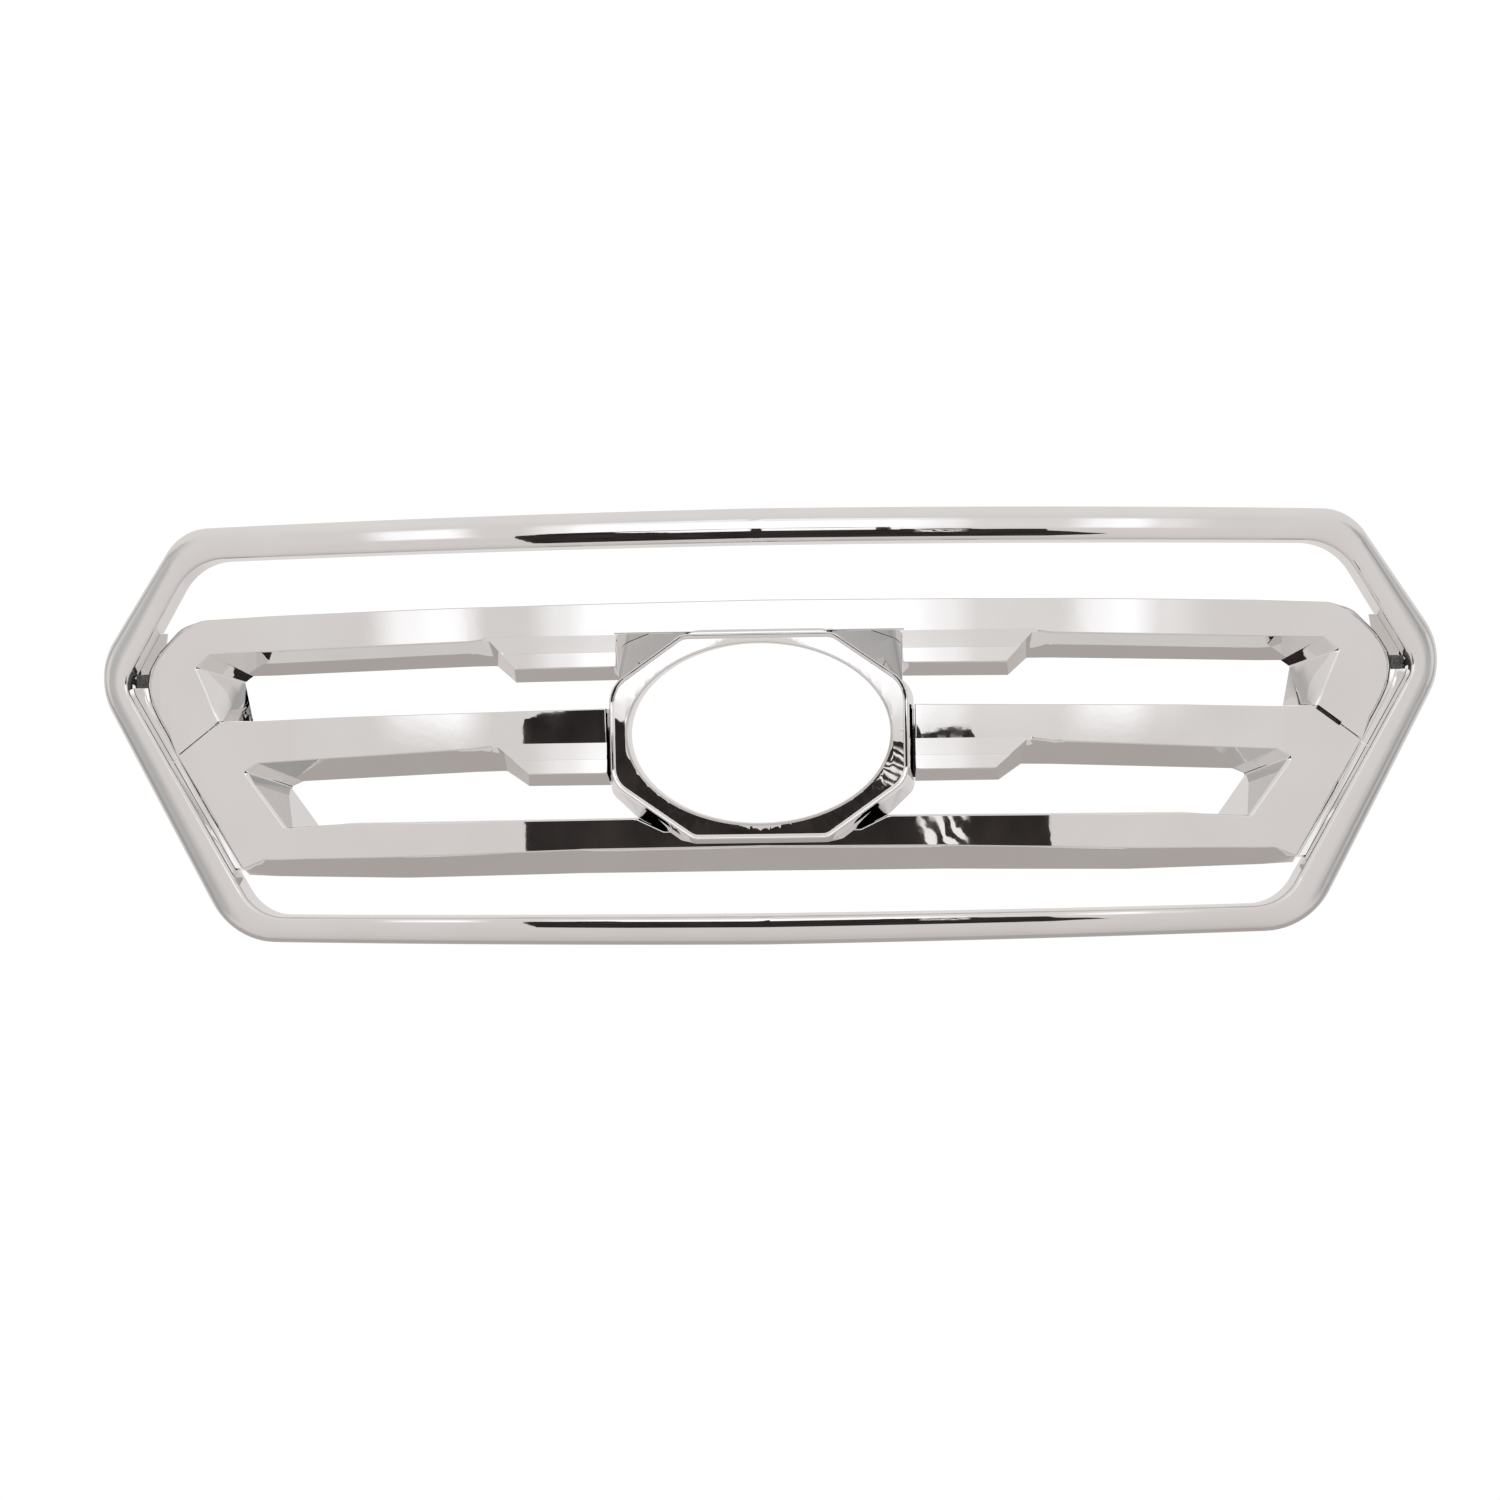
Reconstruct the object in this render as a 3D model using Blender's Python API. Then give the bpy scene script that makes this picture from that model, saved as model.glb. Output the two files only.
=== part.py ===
"""Front grille of a pickup truck: a chromed surround that carries a two-piece barred insert,
with an oval emblem bezel on its own housing in the middle.

Frame: +X is to the viewer's right, -Y faces the road ahead, +Z is up, and X = 0 is the plane of symmetry.
Every moulding is drawn flat, as outlines in x and z at a depth d behind the front, and then bent to the
nose of the vehicle by place(). Lengths are in metres.
"""
import math

import bmesh
import bpy
from mathutils import Vector

# Overall form
HALF_WIDTH = 0.5485          # centre line to the side point
TOP = 0.172                  # crown of the top run
BOTTOM = -0.172              # lowest line of the bottom run
BOW = 0.092                  # how far the ends sweep back
LEAN = math.tan(math.radians(6.0))   # the top leans forward
BOW_STEPS = 12               # straight facets from the centre line to the side point
GAP = 0.0003                 # clearance between neighbouring pieces
WALL = 0.003                 # wall of the plated mouldings
EXTRA = 0.004                # how far a cutter reaches past what it cuts
ARC_STEPS = 5                # facets of a rounded corner
MITRE_LIMIT = 0.35           # smallest cosine that an offset corner is stretched for
TOLERANCE = 1e-6             # lengths below this count as nothing


def inboard(distance):
    """The x that lies a distance inboard of the side point."""
    return HALF_WIDTH - distance


# Surround: a round-nosed rail, open at the back. Corners are x, z, radius.
RAIL_BACK = 0.042            # back edge of the outer wall
RAIL_LIP = 0.034             # back edge of the inner wall
# Front of the section, from the outer edge: share of the width, depth
RAIL_NOSE = ((0.0, 0.0150), (0.030, 0.0085), (0.100, 0.0040), (0.210, 0.0018), (0.350, 0.0008), (0.650, 0.0),
             (0.890, 0.0006), (0.970, 0.0018), (1.0, 0.0045))
POINT_HEIGHT = 0.0527        # height of the side point
RAIL_SHOULDER = (inboard(0.0765), TOP - 0.0024, 0.045)
RAIL_POINT = (inboard(-0.0100), POINT_HEIGHT, 0.056)
RAIL_FOOT = (inboard(0.1075), BOTTOM + 0.0030, 0.062)
RAIL_TOP_HEIGHT = 0.0272     # height of the top run
RAIL_BOTTOM_HEIGHT = 0.0240  # height of the bottom run
MOUTH_SHOULDER = (inboard(0.0875), TOP - 0.0285, 0.050)
MOUTH_POINT = (inboard(0.0220), POINT_HEIGHT - 0.0087, 0.018)
MOUTH_FOOT = (inboard(0.1325), BOTTOM + 0.0245, 0.040)
LEVEL_REACH = inboard(0.1635)    # half length over which the top and bottom runs are level

# Insert: depth of the faces and of the back edges
FACE = 0.008
UPPER_BACK = 0.0375
LOWER_BACK = 0.040
BAR_UNDERCUT = 0.0185        # how far the underside of a bar drops towards its back edge
ACCENT_UNDERCUT = 0.0095     # the same for an accent, the step beside the emblem
WINDOW_SLOPE = 0.032         # how far a window's outer end wall runs in towards its back edge, at its top
WINDOW_FOOT_SLOPE = 0.022    # the same at its foot
TOP_BAR_CROWN = 0.1006       # top edge of the upper bar at the centre line
MIDDLE_BAR_TOP = 0.0175
ACCENT_FOOT = -0.0340        # lower edge of the lower accent
ACCENT_LENGTH = 0.102        # of the upper accent, from its inner end to its top outer corner
LOWER_BAR_TOP = -0.070
LOWER_BAR_SILL = -0.093
SEAM_INNER = (inboard(0.1050), 0.0124)
SEAM_OUTER = (inboard(0.0655), -0.0155)
SEAM_GAP = 0.0005
SEAM_TURN = 0.1              # share of the seam over which the upper insert's foot turns onto the middle bar

# Side flanges, which carry the insert on the surround
SEAT = 0.024                 # depth of the surround's seat for the flanges
FLANGE = 0.003
FLANGE_TOP = 0.0860
FLANGE_FOOT = 0.002          # how far the flange ends below the lower tip
FLANGE_TIP_REACH = 0.010     # how far it reaches inboard of the tip
FLANGE_REACH = 0.60          # share of the rail's width that the flange covers
LEDGE_INNER_DEPTH = 0.0225   # front of the ledge that fills the channel below the catch, at the panel
LEDGE_OUTER_DEPTH = 0.0190   # the same at the rail
SCREW_LINE = 0.34            # share of the rail's width where the screws sit
UPPER_SCREW_HEIGHTS = (0.074, 0.014)
LOWER_SCREW_HEIGHTS = (-0.052, -0.096)

# Square catch in the channel at the side point
CATCH_HEIGHT = 0.047
CATCH_SIZE = 0.0105
CATCH_FRONT = 0.0195
CATCH_HEAD = 0.0180          # height of its head
CATCH_HEAD_THICK = 0.003
CATCH_INSET = 0.0055         # from the edge of the mouth to the middle of the catch

# Emblem bezel and housing. Their corners stand off the oval by these amounts.
OVAL_HALF_WIDTH = 0.102
OVAL_HALF_HEIGHT = 0.070
OVAL_CENTRE = -0.004
OVAL_DRAFT = 0.002           # how much the opening widens to the back
OVAL_STEPS = 36
BEZEL_FRONT = -0.025
HOUSING_FRONT = -0.005
CORNER_STEPS = 4
OVAL_TOP = OVAL_CENTRE + OVAL_HALF_HEIGHT
OVAL_FOOT = OVAL_CENTRE - OVAL_HALF_HEIGHT
FLAT_SHARE = 0.5196          # level edge at the top of the bezel, as a share of the oval's half width
HALF_FLAT = OVAL_HALF_WIDTH * FLAT_SHARE
BEZEL_CORNERS_FRONT = ((HALF_FLAT + 0.005, OVAL_TOP + 0.0050, 0.012),
                       (OVAL_HALF_WIDTH + 0.0115, OVAL_TOP - 0.0335, 0.022),
                       (OVAL_HALF_WIDTH + 0.0115, OVAL_FOOT + 0.0335, 0.020),
                       (HALF_FLAT - 0.001, OVAL_FOOT - 0.0100, 0.010))
BEZEL_CORNERS_BACK = ((HALF_FLAT, OVAL_TOP + 0.0095, 0.012),
                      (OVAL_HALF_WIDTH + 0.0160, OVAL_TOP - 0.0340, 0.022),
                      (OVAL_HALF_WIDTH + 0.0160, OVAL_FOOT + 0.0310, 0.020),
                      (HALF_FLAT + 0.001, OVAL_FOOT - 0.0160, 0.010))
HOUSING_CORNERS_BACK = ((HALF_FLAT, OVAL_TOP + 0.0095, 0.012),
                        (OVAL_HALF_WIDTH + 0.0195, OVAL_TOP - 0.0340, 0.022),
                        (OVAL_HALF_WIDTH + 0.0195, OVAL_FOOT + 0.0240, 0.012),
                        (HALF_FLAT + 0.0320, OVAL_FOOT - 0.0110, 0.010))
TOP_BAR_SILL = OVAL_TOP + 0.0100         # lower edge of the upper bar above the emblem
ACCENT_END = OVAL_HALF_WIDTH + 0.0110    # where the upper accent stops beside the emblem
BAR_END = OVAL_HALF_WIDTH + 0.0200       # where the middle bar stops beside the emblem
LOWER_BAR_DIP = OVAL_FOOT - 0.0065       # top edge of the lower bar under the emblem
DIP_START = HALF_FLAT + 0.025            # half length of the dip at its foot and at its top
DIP_END = HALF_FLAT + 0.047
BEZEL_SCREW_CORNERS = (0, 3)     # corners of the bezel that hold its screws
HOUSING_SCREW_CORNERS = (1, 2)
SCREW_SHARE = 0.40           # how far from the oval to the corner a screw sits

# Shoulder: the web that slopes back and down between the housing, the upper bar and the upper accent
SHOULDER_START = HALF_FLAT + 0.005       # its inner end, inside the housing
SHOULDER_FOOT = OVAL_TOP - 0.0325
SHOULDER_TOP_DEPTH = 0.0095
SHOULDER_FOOT_DEPTH = 0.0335
SHOULDER_CHAMFER = ((0.009, 0.0), (0.023, 0.0125))   # its lower inner corner, from the outer foot

# Backing ring, the part of the lower insert that the housing and the upper bar are screwed to
RING_FRONT = UPPER_BACK + GAP
RING_BACK = 0.041
RING_CORNERS = ((HALF_FLAT + 0.009, OVAL_TOP + 0.0155, 0.010),
                (OVAL_HALF_WIDTH + 0.0165, OVAL_TOP - 0.0370, 0.010),
                (OVAL_HALF_WIDTH + 0.0165, OVAL_FOOT + 0.0260, 0.010),
                (HALF_FLAT + 0.013, OVAL_FOOT - 0.0220, 0.010))
WING_END = OVAL_HALF_WIDTH + 0.036       # where the ring ends behind the middle bar
EAR_X = 0.045
EAR_HALF_WIDTH = 0.009
EAR_SCREW_HEIGHT = (TOP_BAR_SILL + TOP_BAR_CROWN) / 2
EAR_TOP = EAR_SCREW_HEIGHT + 0.0072
EAR_FOOT = OVAL_TOP - 0.016

# Joint brackets behind the seams
BRACKET_FRONT = 0.020
BRACKET_THICK = 0.003
BRACKET_LENGTH = 0.044
BRACKET_WIDTH = 0.016
BRACKET_PITCH = 0.028        # between its two screws

# Fasteners
SCREW_SHANK = 0.0019         # radius
SCREW_HEAD = 0.0042          # radius
SCREW_HEAD_THICK = 0.0024
SCREW_LENGTH = 0.012
SCREW_TIP = 0.0015           # from the tip to the bottom of the pilot hole
RECESS_STEPS = 6             # sides of the recess in the head
BOSS = 0.0042                # radius
PILOT = SCREW_SHANK + GAP    # radius of the hole that takes the shank
CLEAR = SCREW_SHANK + 0.0006  # radius of a clearance hole
ROUND_STEPS = 10

# Mounting tabs of the surround
TAB_HALF_WIDTH = 0.015
TAB_RIB = 0.003              # thickness of the rib inside the rail
RIB_FRONT = 2 * WALL / 3     # depth of its front edge, inside the rail's front wall
TAB_PAD = 0.005              # thickness of the pad behind the rail
TAB_PAD_FRONT = RAIL_BACK + 0.0015
TAB_PAD_BACK = 0.066
TAB_HOLE = 0.0035            # radius
TOP_TABS = (0.0, 0.170, 0.340)
TOP_TAB_TOP = TOP - 0.011
BOTTOM_TABS = (0.120, 0.300)
BOTTOM_TAB_TOP = BOTTOM + 0.0135
TONGUE_BACK = 0.0330         # end of the plain tongues inside the bottom run
CLIP_HALF_WIDTH = 0.008
CLIP_LENGTH = 0.016
CLIP_SHEET = 0.0008
CLIP_BACK = TONGUE_BACK + 2 * GAP        # inside of its fold
CLIP_FRONT = CLIP_BACK - CLIP_LENGTH

SIDES = {"right": 1, "left": -1}


# ---------------------------------------------------------------- outlines

def corner_arc(before, corner, after, steps):
    """Points of a rounded corner; a corner of radius 0 is a single point."""
    x, z, radius = corner
    if radius == 0:
        return [(x, z)]
    point = Vector((x, z))
    to_before = (Vector(before[:2]) - point).normalized()
    to_after = (Vector(after[:2]) - point).normalized()
    half = to_before.angle(to_after) / 2
    middle = point + (to_before + to_after).normalized() * (radius / math.sin(half))
    start = point + to_before * (radius / math.tan(half)) - middle
    end = point + to_after * (radius / math.tan(half)) - middle
    turn = math.atan2(start.x * end.y - start.y * end.x, start.dot(end))
    points = []
    for step in range(steps + 1):
        angle = turn * step / steps
        cos, sin = math.cos(angle), math.sin(angle)
        points.append((middle.x + start.x * cos - start.y * sin, middle.y + start.x * sin + start.y * cos))
    return points


def rounded(corners, steps=ARC_STEPS):
    """Closed outline through corners given as x, z, radius."""
    points = []
    count = len(corners)
    for index, corner in enumerate(corners):
        points += corner_arc(corners[index - 1], corner, corners[(index + 1) % count], steps)
    return points


def symmetric(top, corners, bottom):
    """Corners of a whole outline from those of its right half, top to bottom."""
    mirrored = [(-x, z, radius) for x, z, radius in reversed(corners)]
    middle_top = [(0.0, top, 0)] if top is not None else []
    middle_bottom = [(0.0, bottom, 0)] if bottom is not None else []
    return middle_top + list(corners) + middle_bottom + mirrored


def oval(grow=0.0):
    points = []
    for step in range(OVAL_STEPS):
        angle = 2 * math.pi * step / OVAL_STEPS
        points.append(((OVAL_HALF_WIDTH + grow) * math.sin(angle),
                       OVAL_CENTRE + (OVAL_HALF_HEIGHT + grow) * math.cos(angle)))
    return points


def area(outline):
    total = 0.0
    for (x0, z0), (x1, z1) in zip(outline, outline[1:] + outline[:1]):
        total += x0 * z1 - x1 * z0
    return total / 2


def inset(outline, width):
    """Outline moved inwards by width, with mitred corners; a negative width moves it outwards."""
    sign = 1 if area(outline) > 0 else -1
    result = []
    count = len(outline)
    for index in range(count):
        here = Vector(outline[index])
        along_in = (here - Vector(outline[index - 1])).normalized()
        along_out = (Vector(outline[(index + 1) % count]) - here).normalized()
        normal_in = Vector((-along_in.y, along_in.x)) * sign
        normal_out = Vector((-along_out.y, along_out.x)) * sign
        mitre = (normal_in + normal_out).normalized()
        moved = here + mitre * (width / max(mitre.dot(normal_in), MITRE_LIMIT))
        result.append((moved.x, moved.y))
    return result


def between(first, second, share):
    return [(a[0] + (b[0] - a[0]) * share, a[1] + (b[1] - a[1]) * share) for a, b in zip(first, second)]


def crossing(outline, height):
    """Largest x at which the outline crosses a height."""
    found = []
    for (x0, z0), (x1, z1) in zip(outline, outline[1:] + outline[:1]):
        if (z0 - height) * (z1 - height) < 0:
            found.append(x0 + (x1 - x0) * (height - z0) / (z1 - z0))
    return max(found)


def corner_spot(index):
    """Place of a screw between the oval and a corner of the bezel."""
    x, z, _ = BEZEL_CORNERS_BACK[index]
    ray = Vector((x, z - OVAL_CENTRE))
    oval_share = 1 / math.hypot(ray.x / OVAL_HALF_WIDTH, ray.y / OVAL_HALF_HEIGHT)
    spot = ray * (oval_share + (1 - oval_share) * SCREW_SHARE)
    return spot.x, spot.y + OVAL_CENTRE


BEZEL_SCREWS = tuple(corner_spot(index) for index in BEZEL_SCREW_CORNERS)
HOUSING_SCREWS = tuple(corner_spot(index) for index in HOUSING_SCREW_CORNERS)


def with_joints(outline):
    """Outline with a point wherever its level runs cross a joint of the sweep."""
    step = HALF_WIDTH / BOW_STEPS
    joints = [cell * step for cell in range(1 - BOW_STEPS, BOW_STEPS) if abs(cell) * step < LEVEL_REACH]
    points = []
    for (x0, z0), (x1, z1) in zip(outline, outline[1:] + outline[:1]):
        points.append((x0, z0))
        if abs(x1 - x0) < step:
            continue
        inside = [x for x in joints if min(x0, x1) + TOLERANCE < x < max(x0, x1) - TOLERANCE]
        for x in sorted(inside, reverse=x1 < x0):
            points.append((x, z0 + (z1 - z0) * (x - x0) / (x1 - x0)))
    return points


RAIL_OUTER = with_joints(rounded(symmetric(TOP, (RAIL_SHOULDER, RAIL_POINT, RAIL_FOOT), BOTTOM)))
RAIL_INNER = with_joints(rounded(symmetric(TOP - RAIL_TOP_HEIGHT, (MOUTH_SHOULDER, MOUTH_POINT, MOUTH_FOOT),
                                           BOTTOM + RAIL_BOTTOM_HEIGHT)))


# ---------------------------------------------------------------- mesh tools

def mesh_object(name, shape):
    bmesh.ops.recalc_face_normals(shape, faces=shape.faces)
    mesh = bpy.data.meshes.new(name)
    shape.to_mesh(mesh)
    shape.free()
    made = bpy.data.objects.new(name, mesh)
    bpy.context.collection.objects.link(made)
    return made


def loft(name, rings, closed=False):
    """Solid through rings of (x, d, z) points; capped at both ends, or closed into a hoop."""
    shape = bmesh.new()
    layers = [[shape.verts.new(point) for point in ring] for ring in rings]
    pairs = list(zip(layers, layers[1:]))
    if closed:
        pairs.append((layers[-1], layers[0]))
    for near, far in pairs:
        count = len(near)
        for index in range(count):
            after = (index + 1) % count
            shape.faces.new((near[index], near[after], far[after], far[index]))
    if not closed:
        shape.faces.new(layers[0])
        shape.faces.new(layers[-1])
    flat = [face for face in shape.faces if len(face.verts) == 4]
    bmesh.ops.triangulate(shape, faces=flat)
    return mesh_object(name, shape)


def at_depth(outline, depth):
    return [(x, depth, z) for x, z in outline]


def slab(name, outline, front, back):
    return loft(name, [at_depth(outline, front), at_depth(outline, back)])


def block(name, x_range, d_range, z_range):
    outline = [(x_range[0], z_range[0]), (x_range[1], z_range[0]),
               (x_range[1], z_range[1]), (x_range[0], z_range[1])]
    return slab(name, outline, *d_range)


def rod(name, x, z, radius, front, back, steps=ROUND_STEPS):
    """Round rod along the depth."""
    outline = []
    for step in range(steps):
        angle = 2 * math.pi * (step + 0.5) / steps
        outline.append((x + radius * math.cos(angle), z + radius * math.sin(angle)))
    return slab(name, outline, front, back)


def upright_rod(name, x, depth, radius, low, high):
    """Round rod along z."""
    rings = []
    for z in (low, high):
        ring = []
        for step in range(ROUND_STEPS):
            angle = 2 * math.pi * (step + 0.5) / ROUND_STEPS
            ring.append((x + radius * math.cos(angle), depth + radius * math.sin(angle), z))
        rings.append(ring)
    return loft(name, rings)


def combine(target, tool, operation):
    """Boolean of two objects; the tool is used up."""
    step = target.modifiers.new(operation, 'BOOLEAN')
    step.operation = operation
    step.solver = 'EXACT'
    step.object = tool
    graph = bpy.context.evaluated_depsgraph_get()
    target.data = bpy.data.meshes.new_from_object(target.evaluated_get(graph))
    target.modifiers.clear()
    bpy.data.objects.remove(tool)
    return target


def add(target, *tools):
    for tool in tools:
        combine(target, tool, 'UNION')


def cut(target, *tools):
    for tool in tools:
        combine(target, tool, 'DIFFERENCE')


def shell(name, front_outline, back_outline, front, back, holes=()):
    """Moulding with a face and walls, open at the back. Holes are pairs of front and back outlines."""
    slope = WALL / (back - front)
    past = (back + EXTRA - front) / (back - front)
    body = loft(name, [at_depth(front_outline, front), at_depth(back_outline, back)])
    core = loft("core", [at_depth(inset(between(front_outline, back_outline, slope), WALL), front + WALL),
                         at_depth(inset(between(front_outline, back_outline, past), WALL), back + EXTRA)])
    before = -EXTRA / (back - front)
    for hole_front, hole_back in holes:
        near = between(hole_front, hole_back, before)
        far = between(hole_front, hole_back, past)
        cut(body, loft("hole", [at_depth(near, front - EXTRA), at_depth(far, back + EXTRA)]))
        cut(core, loft("hole wall", [at_depth(inset(near, -WALL), front - EXTRA),
                                     at_depth(inset(far, -WALL), back + 2 * EXTRA)]))
    cut(body, core)
    return body


# ---------------------------------------------------------------- bending and finish

FLAT_ANGLE = math.radians(0.05)      # faces that turn by less are one face
SMOOTH_ANGLE = math.radians(32)      # edges that turn by more are drawn sharp


def sweep(x):
    """How far the nose runs back at x: the chords of a parabola."""
    step = HALF_WIDTH / BOW_STEPS
    cell = min(int(abs(x) / step), BOW_STEPS - 1)
    start = BOW * (cell / BOW_STEPS) ** 2
    end = BOW * ((cell + 1) / BOW_STEPS) ** 2
    return start + (end - start) * (abs(x) / step - cell)


def place(x, depth, z):
    return Vector((x, depth + sweep(x) - LEAN * z, z))


def bend(piece):
    """Split the mesh where the sweep changes direction, then move each vertex to its place."""
    shape = bmesh.new()
    shape.from_mesh(piece.data)
    bmesh.ops.remove_doubles(shape, verts=shape.verts, dist=TOLERANCE)
    bmesh.ops.dissolve_limit(shape, angle_limit=FLAT_ANGLE, verts=shape.verts, edges=shape.edges)
    for cell in range(1 - BOW_STEPS, BOW_STEPS):
        everything = shape.verts[:] + shape.edges[:] + shape.faces[:]
        bmesh.ops.bisect_plane(shape, geom=everything, dist=TOLERANCE,
                               plane_co=(cell * HALF_WIDTH / BOW_STEPS, 0, 0), plane_no=(1, 0, 0))
    bmesh.ops.triangulate(shape, faces=shape.faces)
    for vertex in shape.verts:
        vertex.co = place(*vertex.co)
    bmesh.ops.recalc_face_normals(shape, faces=shape.faces)
    shape.to_mesh(piece.data)
    shape.free()


def material(name, colour, roughness, metallic):
    made = bpy.data.materials.new(name)
    made.use_nodes = True
    shader = made.node_tree.nodes["Principled BSDF"]
    shader.inputs["Base Color"].default_value = (*colour, 1.0)
    shader.inputs["Roughness"].default_value = roughness
    shader.inputs["Metallic"].default_value = metallic
    return made


CHROME = ((0.86, 0.86, 0.87), 0.05, 1.0)
BLACK_PLASTIC = ((0.02, 0.02, 0.022), 0.45, 0.0)
GREY_PLASTIC = ((0.16, 0.16, 0.165), 0.45, 0.0)
ZINC = ((0.62, 0.63, 0.65), 0.35, 1.0)
SPRING_STEEL = ((0.30, 0.30, 0.32), 0.40, 1.0)


def finish(piece, look):
    bend(piece)
    piece.data.materials.clear()
    piece.data.materials.append(material(piece.name, *look))
    piece.data.shade_smooth()
    piece.data.set_sharp_from_angle(angle=SMOOTH_ANGLE)


# ---------------------------------------------------------------- surround

def rail_ring(index):
    """Section of the rail at one point of its outline: the nose and both walls, out and back."""
    outer = Vector(RAIL_OUTER[index])
    inner = Vector(RAIL_INNER[index])
    wall = WALL / (outer - inner).length
    section = [(0.0, RAIL_BACK), *RAIL_NOSE, (1.0, RAIL_LIP), (1.0 - wall, RAIL_LIP)]
    section += [(wall + share * (1 - 2 * wall), depth + WALL) for share, depth in reversed(RAIL_NOSE)]
    section += [(wall, RAIL_BACK)]
    ring = []
    for share, depth in section:
        spot = outer + (inner - outer) * share
        ring.append((spot.x, depth, spot.y))
    return ring


def flange_outline(side, grow=0.0):
    """Area that the flanges of one side cover, from the wall of the insert to behind the rail."""
    reach = between(RAIL_INNER, RAIL_OUTER, FLANGE_REACH)
    lower_end = TIP_CORNER[1] - FLANGE_FOOT
    outer = [point for point in reach if point[0] > 0 and lower_end < point[1] < FLANGE_TOP]
    top_x = crossing(reach, FLANGE_TOP)
    bottom_x = crossing(reach, lower_end)
    border = [point for point in PANEL_BORDER if lower_end < point[1] < FLANGE_TOP]
    inner = [(x - WALL / 2, z) for x, z in reversed(border)]
    start = (inner[-1][0] - WALL, FLANGE_TOP)
    outline = [start, (top_x, FLANGE_TOP)] + outer + [(bottom_x, lower_end)]
    outline += [(TIP_CORNER[0] - FLANGE_TIP_REACH, lower_end)] + inner
    outline = inset(outline, -grow) if grow else outline
    return [(side * x, z) for x, z in outline]


def screw_spot(height):
    return crossing(between(RAIL_INNER, RAIL_OUTER, SCREW_LINE), height), height


def catch_spot():
    """Middle of the catch, clear of the edge of the mouth over the catch's whole height."""
    heights = (CATCH_HEIGHT - CATCH_SIZE / 2, CATCH_HEIGHT, CATCH_HEIGHT + CATCH_SIZE / 2)
    edge = min(crossing(RAIL_INNER, height) for height in heights)
    return edge - CATCH_INSET, CATCH_HEIGHT


def tab(name, x, top):
    """Mounting tab: a rib inside the rail that ends in a thicker pad with a bolt hole."""
    rib_top = top - (TAB_PAD - TAB_RIB) / 2
    rib = block(name, (x - TAB_HALF_WIDTH + WALL, x + TAB_HALF_WIDTH - WALL),
                (RIB_FRONT, TAB_PAD_FRONT + WALL), (rib_top - TAB_RIB, rib_top))
    add(rib, block("pad", (x - TAB_HALF_WIDTH, x + TAB_HALF_WIDTH), (TAB_PAD_FRONT, TAB_PAD_BACK),
                   (top - TAB_PAD, top)))
    return rib


def bolt_hole(x, top):
    depth = (TAB_PAD_FRONT + TAB_PAD_BACK) / 2
    return upright_rod("bolt hole", x, depth, TAB_HOLE, top - TAB_PAD - EXTRA, top + EXTRA)


def make_surround():
    surround = loft("surround", [rail_ring(index) for index in range(len(RAIL_OUTER))], closed=True)
    for side in SIDES.values():
        for height in UPPER_SCREW_HEIGHTS + LOWER_SCREW_HEIGHTS:
            x, z = screw_spot(height)
            add(surround, rod("boss", side * x, z, BOSS, WALL, SEAT + EXTRA))
        cut(surround, slab("seat", flange_outline(side, 2 * GAP), SEAT, RAIL_BACK + EXTRA))
        for height in UPPER_SCREW_HEIGHTS + LOWER_SCREW_HEIGHTS:
            x, z = screw_spot(height)
            cut(surround, rod("pilot", side * x, z, PILOT, SEAT - SCREW_LENGTH, SEAT + EXTRA))
    for x in sorted({side * spot for side in SIDES.values() for spot in TOP_TABS}):
        add(surround, tab("tab", x, TOP_TAB_TOP))
        cut(surround, bolt_hole(x, TOP_TAB_TOP))
    for x in sorted({side * spot for side in SIDES.values() for spot in BOTTOM_TABS}):
        add(surround, lower_tab(x))
    finish(surround, CHROME)


def lower_tab(x):
    """Lower tab: a plain tongue that the spring clip is pushed on."""
    return block("lower tab", (x - TAB_HALF_WIDTH, x + TAB_HALF_WIDTH), (RIB_FRONT, TONGUE_BACK),
                 (BOTTOM_TAB_TOP - TAB_RIB, BOTTOM_TAB_TOP))


# ---------------------------------------------------------------- insert

# Outer border of the end panels, from the top corner down to the lower tip
PANEL_BORDER = [(inboard(distance), height) for distance, height in (
    (0.0735, 0.0900), (0.0520, 0.0700), (0.0425, 0.0560), (0.0400, 0.0440), (0.0420, 0.0290),
    (0.0485, 0.0150), (0.0565, 0.0010))]
PANEL_BORDER += [SEAM_OUTER, (inboard(0.0900), -0.0615), (inboard(0.1200), -0.1085)]
TIP_CORNER = PANEL_BORDER[-1]
SEAM_INDEX = PANEL_BORDER.index(SEAM_OUTER)


def half_points(rows):
    """Front and back outlines of a right half, from rows of x, z, and the shift of the back point."""
    front = [(x, z) for x, z, _, _ in rows]
    back = [(x + shift_x, z + shift_z) for x, z, shift_x, shift_z in rows]
    return front, back


def whole(half):
    return half + [(-x, z) for x, z in reversed(half) if x > TOLERANCE]


def seam_shift(distance):
    """Move across the seam by a distance, upwards if positive."""
    along = (Vector(SEAM_OUTER) - Vector(SEAM_INNER)).normalized()
    return -along.y * distance, along.x * distance


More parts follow.
